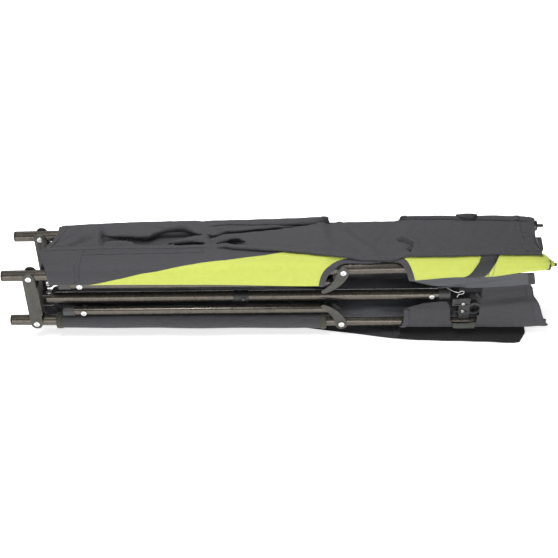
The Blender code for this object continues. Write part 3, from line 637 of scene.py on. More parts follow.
def collar(node, name):
    start, end = ends_of(node)
    length = (end - start).length * 1000
    ring = [(10.3, 0.3), (10.9, 0.0), (11.4, 0.5), (11.6, 1.6), (11.6, 5.0), (11.25, 5.5),
        (11.25, length - 5.5)]
    ring += [(11.6, length - 5.0), (11.6, length - 1.6), (11.4, length - 0.5), (10.9, length),
        (10.3, length - 0.3)]
    ring += [(10.3, 0.3)]
    obj = turned(start, end - start, ring, closed=False)
    return finished(obj, name, BLACK_PLASTIC, body_of(node), "black_plastic", node)


def collar_button(side, out):
    """The small domed head on a collar's outer side."""
    low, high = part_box(f"{side}_centre_leg_collar")
    middle = (low + high) / 2
    ring = [(0.8, 1.7), (2.2, 1.5), (3.3, 0.9), (3.8, 0.2), (3.8, -0.8)]
    place = middle + Vector((0.004, out * 0.0116, 0.0005))
    obj = turned(place, (0, out, 0), ring, sides=24)
    return finished(obj, f"{side}_collar_button", GREY_PLASTIC, f"{side}_centre_leg", "grey_plastic")


for side, out in (("near", -1), ("far", 1)):
    collar(f"{side}_centre_leg_collar", f"{side}_centre_leg_collar_ribbed")
    collar_button(side, out)


# Cloth: cut flat in millimetres (U along the rails, V round them), then hung in place
def between(t, first, last, into, out):
    """A cubic from first to last, leaving and arriving with the given slopes, as t goes from 0 to 1."""
    return (
        (2 * t**3 - 3 * t**2 + 1) * first
        + (t**3 - 2 * t**2 + t) * into
        + (3 * t**2 - 2 * t**3) * last
        + (t**3 - t**2) * out
    )


def follow(keys, x):
    """A smooth line through (place, value) keys that never overshoots, level beyond its ends."""
    place = np.array([key[0] for key in keys], float)
    value = np.array([key[1] for key in keys], float)
    x = np.clip(np.asarray(x, float), place[0], place[-1])
    gaps = np.diff(place)
    secant = np.diff(value) / gaps
    slope = np.zeros_like(value)
    same = secant[:-1] * secant[1:] > 0
    inner = np.zeros(len(value) - 2)
    inner[same] = 2 / (1 / secant[:-1][same] + 1 / secant[1:][same])
    slope[1:-1] = inner
    slope[0], slope[-1] = secant[0], secant[-1]
    index = np.clip(np.searchsorted(place, x, "right") - 1, 0, len(gaps) - 1)
    gap = gaps[index]
    t = (x - place[index]) / gap
    first, last = value[index], value[index + 1]
    into, out = slope[index] * gap, slope[index + 1] * gap
    return between(t, first, last, into, out)


def ease(low, high, x):
    t = np.clip((np.asarray(x, float) - low) / (high - low), 0, 1)
    return t * t * (3 - 2 * t)


def along_section(knots, points, v):
    """A smooth section line: points is one (N, H) array per knot, each as long as v."""
    knots = np.array(knots, float)
    points = np.array(points, float)
    v = np.clip(v, knots[0], knots[-1])
    index = np.clip(np.searchsorted(knots, v, "right") - 1, 0, len(knots) - 2)
    every = np.arange(len(v))
    slope = np.empty_like(points)
    span = (knots[2:] - knots[:-2])[:, None, None]
    slope[1:-1] = (points[2:] - points[:-2]) / span
    slope[0] = (points[1] - points[0]) / (knots[1] - knots[0])
    slope[-1] = (points[-1] - points[-2]) / (knots[-1] - knots[-2])
    gap = knots[index + 1] - knots[index]
    t = ((v - knots[index]) / gap)[:, None]
    gap = gap[:, None]
    first, last = points[index, :, every], points[index + 1, :, every]
    into, out = slope[index, :, every] * gap, slope[index + 1, :, every] * gap
    return between(t, first, last, into, out)


def spread(u, points):
    """Section points with every number made as long as u."""
    return [(n + 0 * u, h + 0 * u) for n, h in points]


def inside(polygon, u, v):
    """Which of the points lie in a closed outline."""
    found = np.zeros(len(u), bool)
    for (u1, v1), (u2, v2) in zip(polygon, polygon[1:] + polygon[:1]):
        crosses = (v1 > v) != (v2 > v)
        with np.errstate(divide="ignore", invalid="ignore"):
            meet = u1 + (v - v1) * (u2 - u1) / (v2 - v1)
        found ^= crosses & (u < meet)
    return found


def lay_flat(u_range, v_range, step, lines=()):
    """A flat cloth with cuts along the lines, as its points, its faces and their middles."""
    bm = bmesh.new()
    columns = max(2, round((u_range[1] - u_range[0]) / step[0]))
    rows = max(2, round((v_range[1] - v_range[0]) / step[1]))
    bmesh.ops.create_grid(bm, x_segments=columns, y_segments=rows, size=0.5)
    for vert in bm.verts:
        vert.co.x = u_range[0] + (vert.co.x + 0.5) * (u_range[1] - u_range[0])
        vert.co.y = v_range[0] + (vert.co.y + 0.5) * (v_range[1] - v_range[0])
    reach = 2.2 * max(step)
    for line in lines:
        points = [Vector((u, v, 0)) for u, v in line]
        low = [min(p[k] for p in points) - reach for k in (0, 1)]
        high = [max(p[k] for p in points) + reach for k in (0, 1)]
        pool = []
        for face in bm.faces:
            middle = face.calc_center_median()
            if low[0] < middle.x < high[0] and low[1] < middle.y < high[1]:
                pool.append(face)
        for first, second in zip(points, points[1:]):
            half = (second - first) / 2
            middle = first + half
            side = Vector((-half.y, half.x, 0)).normalized()
            near, rest = [], []
            for face in pool:
                way = face.calc_center_median() - middle
                close = abs(way.dot(half.normalized())) < half.length + reach and abs(way.dot(side)) < reach
                (near if close else rest).append(face)
            parts = set(near)
            for face in near:
                parts.update(face.edges)
                parts.update(face.verts)
            done = bmesh.ops.bisect_plane(bm, geom=list(parts), dist=0.001, plane_co=middle, plane_no=side)
            pool = rest + [part for part in done["geom"] if isinstance(part, bmesh.types.BMFace)]
    bm.verts.index_update()
    points = np.array([vert.co[:2] for vert in bm.verts])
    faces = [[vert.index for vert in face.verts] for face in bm.faces]
    bm.free()
    middles = np.array([points[face].mean(0) for face in faces])
    return points, faces, middles


def cloth_object(name, places, faces, uv):
    """A mesh from places and a flat cut in millimetres. The cut becomes its UV map, in metres."""
    mesh = bpy.data.meshes.new(name)
    mesh.from_pydata([spot(*place) for place in places], [], faces)
    layer = mesh.uv_layers.new(name="cloth")
    for loop in mesh.loops:
        layer.data[loop.index].uv = uv[loop.vertex_index] / 1000
    return add_object(name, mesh)


def hang(name, flat, keep, shape, thickness, mat, slot, turned_over=False):
    """Hangs a flat cloth or its kept faces: shape(u, v) gives X, N and V columns in millimetres."""
    points, faces, _ = flat
    if keep is not None:
        faces = [face for face, kept in zip(faces, keep) if kept]
    used = sorted({index for face in faces for index in face})
    number = {index: k for k, index in enumerate(used)}
    uv = points[used]
    places = shape(uv[:, 0], uv[:, 1])
    order = -1 if turned_over else 1
    obj = cloth_object(name, places, [[number[index] for index in face][::order] for face in faces], uv)
    with_modifier(obj, "SOLIDIFY", thickness=thickness / 1000, offset=0.0)
    return finished(obj, name, mat, None, slot, angle=180)


def tape(name, path, shape, width, lift, thickness, mat, slot):
    """A bound edge: a strip that follows a path of (u, v) points on a cloth, lifted off it."""
    line = np.array(path, float)
    gaps = np.hypot(*np.diff(line, axis=0).T)
    reach = np.concatenate([[0], np.cumsum(gaps)])
    count = max(4, int(reach[-1] / 3))
    run = np.linspace(0, reach[-1], count)
    centre = np.stack([np.interp(run, reach, line[:, k]) for k in (0, 1)], 1)
    for _ in range(3):
        centre[1:-1] = (centre[:-2] + 2 * centre[1:-1] + centre[2:]) / 4
    way = np.gradient(centre, axis=0)
    way /= np.hypot(way[:, 0], way[:, 1])[:, None]
    side = np.stack([-way[:, 1], way[:, 0]], 1)
    across = np.linspace(-width / 2, width / 2, 5)
    crown = np.array([-0.5, 0.25, 0.5, 0.25, -0.5])
    spots, cloth_uv = [], []
    for k, offset in enumerate(across):
        uv = centre + side * offset
        spots.append(off_surface(shape, uv, lift + crown[k]))
        cloth_uv.append(np.stack([run, np.full(count, offset)], 1))
    faces = []
    for row in range(4):
        for k in range(count - 1):
            a = row * count + k
            faces.append((a, a + 1, a + count + 1, a + count))
    obj = cloth_object(name, np.vstack(spots), faces, np.vstack(cloth_uv))
    with_modifier(obj, "SOLIDIFY", thickness=thickness / 1000, offset=0.0)
    return finished(obj, name, mat, None, slot, angle=180)


def off_surface(shape, uv, lift):
    """Places at a height off a cloth's outer face."""
    u, v = uv[:, 0], uv[:, 1]
    place = shape(u, v)
    along = shape(u + 0.8, v) - shape(u - 0.8, v)
    across = shape(u, v + 0.8) - shape(u, v - 0.8)
    out = np.cross(along, across)
    out /= np.linalg.norm(out, axis=1)[:, None] + 1e-9
    return place + out * lift


def stretch(obj, level):
    """Bakes a piece's place into its mesh; it does not stretch as the frames part."""
    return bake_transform(obj)


# The near side panel: round the rail as a pocket, over its top and back under the cover
LIP = [(30, -12.3), (100, -13), (234, -15.7), (358, -19.4), (519, -26), (600, -26), (684, -24.5),
    (763, -19.5)]
LIP += [(819, -20.5), (870, -14.5), (900, -10.5), (935, -9)]
LIP_SIDE = [(30, -14.4), (519, -14.4), (640, -8), (684, -6), (819, -5), (905, -3), (935, 0)]
PANEL_SIDE = [(30, 15.2), (358, 15.8), (519, 15.8), (684, 14.6), (880, 14), (935, 12.5)]
PANEL_TOP = [(10, 17.4), (60, 18.4), (120, 18.8), (600, 19), (700, 19), (860, 18.4), (905, 16.5), (935, 13)]
PANEL_UNDER = [(30, -11.2), (92, -11.2), (150, -12.2), (935, -12.2)]
CLOSING = [(900, 1.0), (914, 0.97), (921, 0.86), (926, 0.62), (931, 0.42), (935, 0.3)]
WINDOW = [(521.5, -62), (521.5, 0), (522.6, 12), (526.5, 22), (532.5, 32), (541, 42), (550, 50),
    (560, 54.5)]
WINDOW += [(575, 56), (610, 54), (630, 58), (648, 57), (660, 53), (668, 44), (673, 33), (677, 22),
    (681, 12)]
WINDOW += [(684, 0), (685, -62)]
SEAM = [(88, -4), (106, 0), (120, 6), (131, 11), (142, 15), (152, 18.5), (163, 21.5), (181, 26.5),
    (206, 32.5)]
SEAM += [(231, 36.5), (256, 41.5), (281, 47), (306, 52), (331, 55.5), (356, 59), (381, 62.5), (406, 68),
    (431, 73)]
SEAM += [(456, 79), (470, 84)]
PANEL_START = [(-62, 37), (0, 36.5), (22, 35.5), (32, 34.5), (42, 32), (52, 28.5), (58, 25.5), (74, 18),
    (92, 11.8)]
PANEL_START += [(112, 15)]
PANEL_BACK = [(0, 107), (121, 109), (250, 106.5), (330, 105), (361, 100), (410, 92), (448, 86), (484, 79),
    (519, 73)]
PANEL_BACK += [(560, 66), (660, 65), (676, 66), (935, 64)]
PANEL_KNOTS = [-61, -53, -43, -35, -25, -17, -10, -3, 0, 3, 12, 22, 32, 42, 52, 72, 92, 112]


def panel_section(x, top):
    lip, lip_n = follow(LIP, x), follow(LIP_SIDE, x)
    side, under = follow(PANEL_SIDE, x), follow(PANEL_UNDER, x)
    loose = ease(600, 684, x)

    def either(tight, slack):
        return [tight[k] * (1 - loose) + slack[k] * loose for k in (0, 1)]

    return spread(x, [
        either((9.5, 15.4), (10.0, 15.0)),
        either((13.2, 7.5), (13.2, 9.5)),
        either((13.8, -2.5), (14.2, 3.0)),
        either((10.8, under + 3.6), (13.6, -4.0)),
        either((3.0, under - 0.2), (10.6, -10.5)),
        either((-5.0, under - 0.2), (5.6, -15.0)),
        either((-10.6, under + 0.6), (lip_n + 7, lip + 4.2)),
        either((lip_n + 1.8, lip + 3.0), (lip_n + 2.6, lip + 1.0)),
        (lip_n, lip),
        (lip_n - 1.5 - 0.6 * loose, lip + 2.6),
        (-side * 0.65 + (lip_n - 2.0) * 0.35, lip * 0.5),
        (-side, 0.5),
        (-side + 2.0, top * 0.49),
        (-8.8, top * 0.86),
        (2.0, top),
        (22.0, top - 0.5),
        (42.0, top - 1.0),
        (62.0, top - 1.6),
    ])


def window_dip(x, n):
    """How far the cloth over a rail sinks where its window leaves it loose."""
    opened = ease(524, 546, x) * (1 - ease(652, 674, x))
    return 6.5 * opened * (1 - ease(6, 19, n))


def near_panel(u, v):
    section = along_section(PANEL_KNOTS, panel_section(u, follow(PANEL_TOP, u)), v)
    n, h = section[:, 0], section[:, 1]
    closing = follow(CLOSING, u)
    creases = 0.5 * np.sin(u * 0.043 + 0.6) * np.sin(v * 0.07 + 1.0) + 0.3 * np.sin(u * 0.11 - v * 0.05)
    n, h = n * closing, (h + creases * ease(4, 20, v)) * closing
    h = h - window_dip(u, n)
    return np.stack([u, n, rail_height(u) + h], 1)


PANEL_STEP = (4.0, 3.0)
panel_flat = lay_flat((10, 935), (-61, 112), PANEL_STEP, [WINDOW, SEAM, [(95, -61), (95, 8)],
    [(x, v) for v, x in PANEL_START], PANEL_BACK])
mu, mv = panel_flat[2].T
on_panel = (mu > np.interp(mv, *zip(*PANEL_START))) & (mv < np.interp(mu, *zip(*PANEL_BACK)))
on_panel &= ~inside(WINDOW, mu, mv)
seam_at = np.interp(mu, *zip(*SEAM))
grey_side = ((mv > seam_at) & (mu < 470)) | ((mv > 0) & (mu < 88)) | ((mv <= 6) & (mu < 95))
panel_grey = hang("near_side_panel_grey", panel_flat, on_panel & grey_side, near_panel, 0.9, GREY,
    "grey_fabric")
panel_lime = hang("near_side_panel_lime", panel_flat, on_panel & ~grey_side, near_panel, 0.9, LIME,
    "lime_fabric")
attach(panel_grey, "near_upper_rail")
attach(panel_lime, "near_upper_rail")
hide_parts("near_upper_sleeve")
window_tape = tape("near_window_binding", WINDOW[1:-1], near_panel, 10.0, 0.5, 1.7, BINDING, "grey_fabric")
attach(window_tape, "near_upper_rail")


# Folds pressed into a cloth that lies over the two rails
def from_line(line, x, n):
    """The distance from a line, positive on its left, and how far along it that is, from 0 to 1."""
    points = np.array(line, float)
    lengths = np.hypot(*np.diff(points, axis=0).T)
    starts = np.concatenate([[0], np.cumsum(lengths)])
    nearest = np.full(len(x), 1e9)
    signed, share = np.zeros(len(x)), np.zeros(len(x))
    for first, second, length, start in zip(points, points[1:], lengths, starts):
        way = (second - first) / length
        along = np.clip((x - first[0]) * way[0] + (n - first[1]) * way[1], 0, length)
        dx, dn = x - first[0] - along * way[0], n - first[1] - along * way[1]
        distance = np.hypot(dx, dn)
        closer = distance < nearest
        signed[closer] = np.where(way[0] * dn >= way[1] * dx, distance, -distance)[closer]
        share[closer] = ((start + along) / starts[-1])[closer]
        nearest[closer] = distance[closer]
    return signed, share


def fold(x, n, line, up, up_reach, down, down_reach, low, high, strength):
    """A crease: the cloth stands up left of the line, sinks right of it, and turns over between."""
    gap, share = from_line(line, x, n)
    lifted = up * np.exp(-((gap / up_reach) ** 2))
    sunk = -down * np.exp(-((gap / down_reach) ** 2))
    return (sunk + (lifted - sunk) * ease(low, high, gap)) * follow(strength, share)


STEEP = [(0, 0), (0.05, 0.1), (0.16, 0.55), (0.3, 0.85), (0.6, 1), (0.86, 1), (0.95, 0.8), (1, 0.2),
    (1.05, 0.04), (1.15, 0)]
SLOPING = [(0, 0), (0.08, 0.15), (0.22, 0.6), (0.4, 0.95), (0.52, 1), (0.68, 0.65), (0.85, 0.2), (1, 0.05),
    (1.2, 0)]
UNDERCUT = [(0.2, 0), (0.5, 0.3), (0.86, 1), (0.95, 0.8), (1, 0.0), (1.03, -0.12), (1.2, 0)]
DEEP_FOLDS = [
    ([(114, 107), (126, 98), (138, 95), (149, 94), (171, 93), (182, 91), (205, 92), (215, 98), (225, 103),
    (236, 106.5),
      (247, 108.5), (256, 109.5), (270, 108), (281, 102.5), (293, 95), (303, 91)],
     [(117, 72), (128, 75), (139, 77.5), (150, 77), (161.5, 73.5), (173, 70), (184, 66.5), (196, 63),
     (207, 59.5),
      (218, 57.5), (229, 58), (240, 63), (250, 67.5), (261, 73), (272, 76), (282, 82), (293, 85),
      (302, 87)],
     20, 2.5, 9, [(114, 0), (124, 0.6), (150, 0.9), (180, 1), (275, 1), (292, 0.7), (306, 0)],
     [(124, 0.35), (180, 0.6), (215, 1)]),
    ([(318, 92), (328, 89), (338, 93), (349, 98), (371, 99), (393, 102), (415, 104.5), (437, 106.5),
    (460, 109), (500, 114)],
     [(318, 72), (328, 74), (338, 78), (349, 83.5), (360, 86), (371, 86.5), (393, 90), (415, 92.5),
     (437, 95), (460, 97.5),
      (500, 104)],
     13, 2.0, 2.5, [(314, 0), (326, 1), (350, 1), (400, 0.85), (460, 0.7), (500, 0.35), (530, 0)],
     [(0, 1), (10, 1)]),
    ([(334, 63), (341, 65), (350, 67.5), (361, 73), (371, 75), (379, 69), (386, 62)],
     [(334, 55), (341, 54), (350, 52), (361, 49.5), (372, 48), (386, 47)],
     17, 1.5, 5, [(332, 0), (340, 1), (366, 1), (376, 0.7), (388, 0)], [(0, 1), (10, 1)]),
    ([(120, 60), (150, 61), (195, 60), (225, 61), (250, 65.5), (267, 69), (285, 71), (303, 71), (312, 68)],
     [(120, 54), (312, 54)], 18, 0.0, 6, [(134, 0), (150, 0.6), (190, 0.6), (212, 0.1), (228, 0.2),
     (248, 1), (296, 1), (312, 0)],
     [(0, 1), (10, 1)]),
]


def deep_fold(x, n, back_line, front_line, depth, up, under, strength, steepness):
    """A deep fold: its back edge hangs over it and its front edge stands up before it."""
    back, edge = follow(back_line, x), follow(front_line, x)
    across = (n - edge) / np.maximum(back - edge, 4.0)
    steep, amount = follow(steepness, x), follow(strength, x)
    sunk = depth * (follow(STEEP, across) * steep + follow(SLOPING, across) * (1 - steep))
    gap = n - edge
    crest = up * np.exp(-((gap / np.where(gap < 0, 9.0, 3.0)) ** 2))
    return under * follow(UNDERCUT, across) * amount * steep, (crest - sunk) * amount


EVEN = ((0, 0.3), (0.2, 1), (0.8, 1), (1, 0.3))


def creased(base, x, n, folds):
    """Adds even creases, each as its line, rise, reach, sink and reach."""
    for one in folds:
        base = base + fold(x, n, *one, -1, 1, EVEN)
    return base


COVER_FOLDS = [
    ([(120, 60), (117.5, 79), (114, 108)], 3.5, 24, 15, 5, -0.8, 1.2, ((0, 1), (0.8, 1), (1, 0.3))),
    ([(225, 64), (250, 69), (267, 73), (285, 75), (303, 75)], 2.5, 7, -2.5, 7, -1, 1,
    ((0, 0), (0.25, 1), (0.9, 1), (1, 0.3))),
    ([(256, 122), (281, 109), (306, 92), (322, 76)], 2.0, 9, -2.0, 9, -1, 1, EVEN),
    ([(126, 60), (160, 72), (204, 72)], 2.0, 8, -2.0, 8, -1, 1, EVEN),
    ([(540, 119), (500, 112), (460, 104)], 3.0, 12, 9, 12, -1.2, 2, ((0, 0.15), (0.5, 0.6), (1, 0.5))),
    ([(310, 72), (330, 74), (350, 78)], 2.5, 6, -2.5, 6, -1, 1, EVEN),
    ([(664, 72), (675, 60), (687, 46), (688.5, 30), (680, 14)], 3.0, 12, 14, 7, -1.0, 1.5,
    ((0, 0), (0.2, 1), (0.85, 1), (1, 0.3))),
    ([(640, 80), (626, 58), (630, 36), (646, 18)], -1.5, 8, 3.0, 8, -4, 4, EVEN),
    ([(652, 46), (664, 36), (668, 24)], 2.5, 5, -2.5, 5, -1, 1, EVEN),
    ([(556, 104), (588, 62), (612, 26), (622, 6)], 3.0, 7, -3.0, 10, -1, 1, EVEN),
    ([(576, 104), (600, 74), (624, 44)], -1.8, 6, 1.8, 7, -1, 1, EVEN),
    ([(30, 50), (60, 84), (92, 116)], 4.5, 7, -4.5, 10, -1, 1, EVEN),
    ([(48, 50), (76, 76), (100, 96)], -5.0, 6, 5.0, 7, -1, 1, EVEN),
    ([(18, 60), (36, 84), (58, 112)], 2.0, 6, -2.0, 6, -1, 1, EVEN),
    ([(48, 51), (60, 55), (74, 62)], 0, 6, 7, 6, -3, 3, EVEN),
    ([(320, 100), (348, 112), (392, 118)], 2.5, 6, -2.5, 6, -1, 1, EVEN),
    ([(60, 60), (121, 63), (210, 59), (330, 56)], 0, 10, 5.0, 8, -4, 4,
    ((0, 0.7), (0.2, 1), (0.35, 0.6), (0.6, 1), (1, 0.7))),
    ([(690, 40), (760, 34), (840, 40), (905, 36)], 1.6, 14, -1.6, 22, -1, 1, EVEN),
    ([(700, 84), (790, 74), (900, 88)], -1.8, 16, 1.8, 16, -1, 1, EVEN),
    ([(430, 60), (500, 50), (560, 30)], 1.6, 10, -1.6, 10, -1, 1, EVEN),
]
COVER_FRONT = [(11, 46), (40, 55), (121, 57), (303, 51.5), (345, 45), (361, 41), (410, 33), (448, 28.2),
    (484, 21.9)]
COVER_FRONT += [(519, 13.5), (548, 10.5), (563, 9), (610, 3), (655, 2.5), (668, 2.5), (676, 2.8),
    (713, 2.4), (802, 3.1), (925, 4.1)]
COVER_END = [(0, 912), (12, 911.5), (22, 909), (32, 907), (52, 907.5), (60, 911), (72, 914), (102, 919),
    (118, 920), (135, 919)]
COVER_START = [(30, 12), (43, 11.8), (64, 20), (97, 33), (126, 42), (135, 44)]
COVER_FAR = [(0, 131), (285, 131), (335, 119), (522, 119), (542, 125), (664, 125), (688, 120), (930, 120)]
FAR_TOP = [(36, 18), (110, 21), (180, 23), (411, 24), (530, 26), (541, 25.5), (668, 23.4), (676, 24.3),
    (800, 22.5), (925, 18)]
COVER_ROLLED = [(318, 0.0), (350, 1.0)]
COVER_LEAD = 11.5


def cover_height(x, n, front, start):
    """Height of the cover's cloth over the rails' line, from its front roll to the far rail."""
    opened = ease(524, 546, x) * (1 - ease(660, 680, x))
    over = 1 - ease(285, 335, x)
    back = follow(FAR_TOP, x)
    shoulder = (back - 2.0) * over + (back - 4.5) * (1 - over)
    shoulder = shoulder * (1 - opened) + 13.6 * opened
    t = np.clip((n - front) / (113 - front), 0, 1)
    run = (start + (shoulder - start) * t - 3.2 * 4 * t * (1 - t)
        + 1.2 * np.sin(t * 9.0 + x * 0.01) * t * (1 - t))
    crown = np.clip((n - 113) / 9, 0, None)
    rise = 2.6 * over * (1 - opened) * ease(0, 1, crown)
    fall = (2.2 - 1.2 * opened) * np.clip(crown - 1, 0, None) ** 2 * 2.0
    pressed = sum(fold(x, n, *one) for one in COVER_FOLDS)
    pressed = pressed + sum(deep_fold(x, n, *one)[1] for one in DEEP_FOLDS)
    near_edge = ease(-2, 6, n - front)
    height = run + rise - fall + pressed * near_edge * (1 - ease(116, 128, n) * 0.8)
    return np.maximum(height, np.sqrt(np.clip(12.5**2 - (n - FRAME_GAP) ** 2, 0, None)))


def cover(u, v):
    front = follow(COVER_FRONT, u)
    rolled = follow(COVER_ROLLED, u)
    bed = near_panel(u, front + 53)[:, 2] - rail_height(u) + 1.35
    knots = [0, 6, 9, 12, 18, 24]
    start = (bed + 6.2) * rolled + (bed - 3.4) * (1 - rolled)
    beyond = cover_height(u, front + 12.5, front, start)
    roll = [(7, 0.2), (1.5, 0.5), (-0.6, 2.6), (1.2, 5.0), (6.5, 6.4)]
    flat = [(-11.5, -2.6), (-5.5, -2.6), (-2.5, -2.6), (0.5, -2.7), (6.5, -3.4)]
    section = []
    for (n1, h1), (n0, h0) in zip(roll, flat):
        section.append((front + n1 * rolled + n0 * (1 - rolled), bed + h1 * rolled + h0 * (1 - rolled)))
    section.append((front + 12.5, beyond))
    place = along_section(knots, section, v)
    n, h = place[:, 0].copy(), place[:, 1].copy()
    past = v > 24
    n[past] = (front + v - COVER_LEAD)[past]
    h[past] = cover_height(u[past], n[past], front[past], start[past])
    n += sum(deep_fold(u, n, *one)[0] for one in DEEP_FOLDS)
    small = 0.35 * np.sin(u * 0.19 + v * 0.11) * np.sin(u * 0.07 - v * 0.23 + 1.0) * ease(4, 20, v)
    return np.stack([u, n, rail_height(u) + h + small], 1)


def cover_v(x, n):
    return n - follow(COVER_FRONT, x) + COVER_LEAD


def cover_line(points, count=60):
    """Points given as (X, N) on the cover, as (u, v) in its flat cut."""
    line = np.array(points, float)
    reach = np.concatenate([[0], np.cumsum(np.hypot(*np.diff(line, axis=0).T))])
    run = np.linspace(0, reach[-1], count)
    x, n = np.interp(run, reach, line[:, 0]), np.interp(run, reach, line[:, 1])
    return list(zip(x, cover_v(x, n)))


far_cut = cover_line([(5, 131)] + COVER_FAR[1:-1] + [(930, 120)], 120)
start_cut = [(x, float(cover_v(x, n))) for n, x in COVER_START]
end_cut = [(x, float(cover_v(x, n))) for n, x in COVER_END]
fold_cuts = []
for back_line, front_line, *_ in DEEP_FOLDS:
    low, high = back_line[0][0], back_line[-1][0]
    for share in (0.0, 0.16, 0.86, 0.95, 1.0):
        run = np.linspace(low, high, 24)
        edge = follow(front_line, run)
        across = edge + np.maximum(follow(back_line, run) - edge, 4.0) * share
        fold_cuts.append([(float(x), float(cover_v(x, n))) for x, n in zip(run, across)])
cover_flat = lay_flat((10, 925), (0, 146), (2.8, 2.4), [start_cut, end_cut, far_cut] + fold_cuts)
cu, cv = cover_flat[2].T
cn = cv - COVER_LEAD + follow(COVER_FRONT, cu)
on_cover = (cu > np.interp(cn, *zip(*COVER_START))) & (cu < np.interp(cn, *zip(*COVER_END)))
on_cover &= cn < np.interp(cu, *zip(*COVER_FAR))
top_cover = hang("top_cover", cover_flat, on_cover, cover, 0.9, GREY, "grey_fabric")
stretch(top_cover, "upper")
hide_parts("upper_bed_fabric")


def cover_surface(x, n):
    """Height of the cover's top over the rails' line at a place on it."""
    return cover(x, cover_v(x, n))[:, 2] - rail_height(x)


# Far upper pocket: over the far rail in two lengths, its front lip on the cover
FAR_LIP = [(36, 112), (300, 112), (500, 112.5), (541, 120), (669, 120), (727, 119), (893, 114), (930, 113)]
FAR_KNOTS = [0, 5, 11, 19, 27, 37, 48, 60, 72, 82, 91, 98]


def far_pocket(u, v):
    lip = follow(FAR_LIP, u)
    bed = cover_surface(u, lip)
    under = 1 - ease(285, 335, u)
    top = follow(FAR_TOP, u) - 1.6 * under
    closing = follow([(895, 1.0), (912, 0.95), (922, 0.82)], u)
    lift = 1.1 * (1 - under) - 2.2 * under
    section = spread(u, [
        (lip, bed + lift),
        (lip + 3.2, np.maximum(bed + lift + 1.5, top - 3.2)),
        (123.5, top),
        (130.0, top - 4.0),
        (134.3, 10.5),
        (135.6, 0.5),
        (132.0, -9.5),
        (122.0, -13.6),
        (111.0, -10.8),
        (106.6, -2.0),
        (106.6, 6.5),
        (109.5, 10.6),
    ])
    place = along_section(FAR_KNOTS, section, v)
    creases = 0.5 * np.sin(u * 0.05) * np.sin(v * 0.16 + u * 0.01) + 0.3 * np.sin(u * 0.13 + v * 0.3)
    h = (place[:, 1] + creases * ease(2, 14, v)) * closing
    return np.stack([u, FRAME_GAP + (place[:, 0] - FRAME_GAP) * closing, rail_height(u) + h], 1)


far_flat = lay_flat((36, 922), (0, 98), (4.0, 3.0),
    [[(542, -1), (536, 12), (533, 22), (531, 40), (530, 99)],
    [(669, -1), (673, 12), (676, 22), (675, 40), (674, 99)]])
fu, fv = far_flat[2].T
far_left = fu < np.interp(fv, (0, 12, 22, 40, 98), (542, 536, 533, 531, 530))
far_right = fu > np.interp(fv, (0, 12, 22, 40, 98), (669, 673, 676, 675, 674))
for part, kept in (("left", far_left), ("right", far_right)):
    pocket = hang(f"far_upper_pocket_{part}", far_flat, kept, far_pocket, 0.9, GREY, "grey_fabric")
    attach(pocket, "far_upper_rail")
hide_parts("far_upper_sleeve")


# Lower pockets: a tube of cloth round each lower rail, cut away where the leg brackets are
LOWER_ROUND = 84


def ring_pocket(centre, side, reach, top, waves):
    """A pocket's shape round a lower rail: v starts inside, goes over the top, outside and under."""
    angles = np.radians([150, 120, 90, 60, 30, 0, -30, -60, -90, -120, -150, -180, -205])

    def shape(u, v):
        outer, upper = follow(reach, u), follow(top, u)
        section = []
        for angle in angles:
            up = max(0.0, math.sin(angle))
            radius = outer * (1 - up**2) + upper * up**2
            section.append((centre + side * radius * math.cos(angle), radius * math.sin(angle)))
        knots = np.linspace(0, LOWER_ROUND, len(angles))
        place = along_section(knots, section, v)
        swell = 1 + waves * (np.sin(u * 0.041 + v * 0.05) + 0.6 * np.sin(u * 0.017 - v * 0.11)) / 15
        n = centre + (place[:, 0] - centre) * swell
        return np.stack([u, n, place[:, 1] * swell - rail_height(u)], 1)

    return shape


LOWER_TOP = [(36, 12.0), (110, 12.3), (300, 14.0), (537, 14.6), (672, 13.5), (922, 13.0)]
near_ring = ring_pocket(0, -1, [(36, 14.2), (300, 14.9), (428, 14.0), (532, 14.8)], LOWER_TOP, 0.4)
far_ring = ring_pocket(FRAME_GAP, 1, [(36, 14.2), (532, 14.8), (900, 14.2), (922, 13)], LOWER_TOP, 0.5)
near_lower_flat = lay_flat((36, 532), (0, LOWER_ROUND), (4.0, 3.2))
near_lower_pocket = hang("near_lower_pocket", near_lower_flat, None, near_ring, 0.9,
    GREY, "grey_fabric", turned_over=True)
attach(near_lower_pocket, "near_lower_rail")
for part, low, high in (("left", 36, 532), ("right", 672, 922)):
    cut = lay_flat((low, high), (0, LOWER_ROUND), (5.0, 3.5))
    pocket = hang(f"far_lower_pocket_{part}", cut, None, far_ring, 0.9, GREY, "grey_fabric")
    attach(pocket, "far_lower_rail")
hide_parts("far_lower_sleeve")


# Loose end of the near lower pocket: stands up behind the clip and hangs past the rail's end
LOOSE_KNOTS = [0, 16, 32, 45, 57, 72, 86, 97, 107, 116, 125, 134, 143, 152]
LOOSE_ROUND = LOOSE_KNOTS[-1]
LOOSE_END = [(0, 900), (16, 902), (32, 906), (45, 908), (57, 916), (72, 929), (84, 940), (90, 941),
    (97, 938)]
LOOSE_END += [(107, 932), (116, 925), (152, 922)]
LOOSE_TOP = [(668, 60), (674, 56), (684, 52.5), (698, 49), (712, 45.5), (737, 44), (752, 43), (757, 52),
    (760, 80)]
LOOSE_TOP += [(766, 84), (803, 84), (810, 78), (813, 60), (811, 40), (804, 30), (801, 0), (945, 0)]
LOOSE_START = [(0, 668), (60, 673), (76, 674.5), (86, 673), (97, 670), (107, 669), (152, 672)]


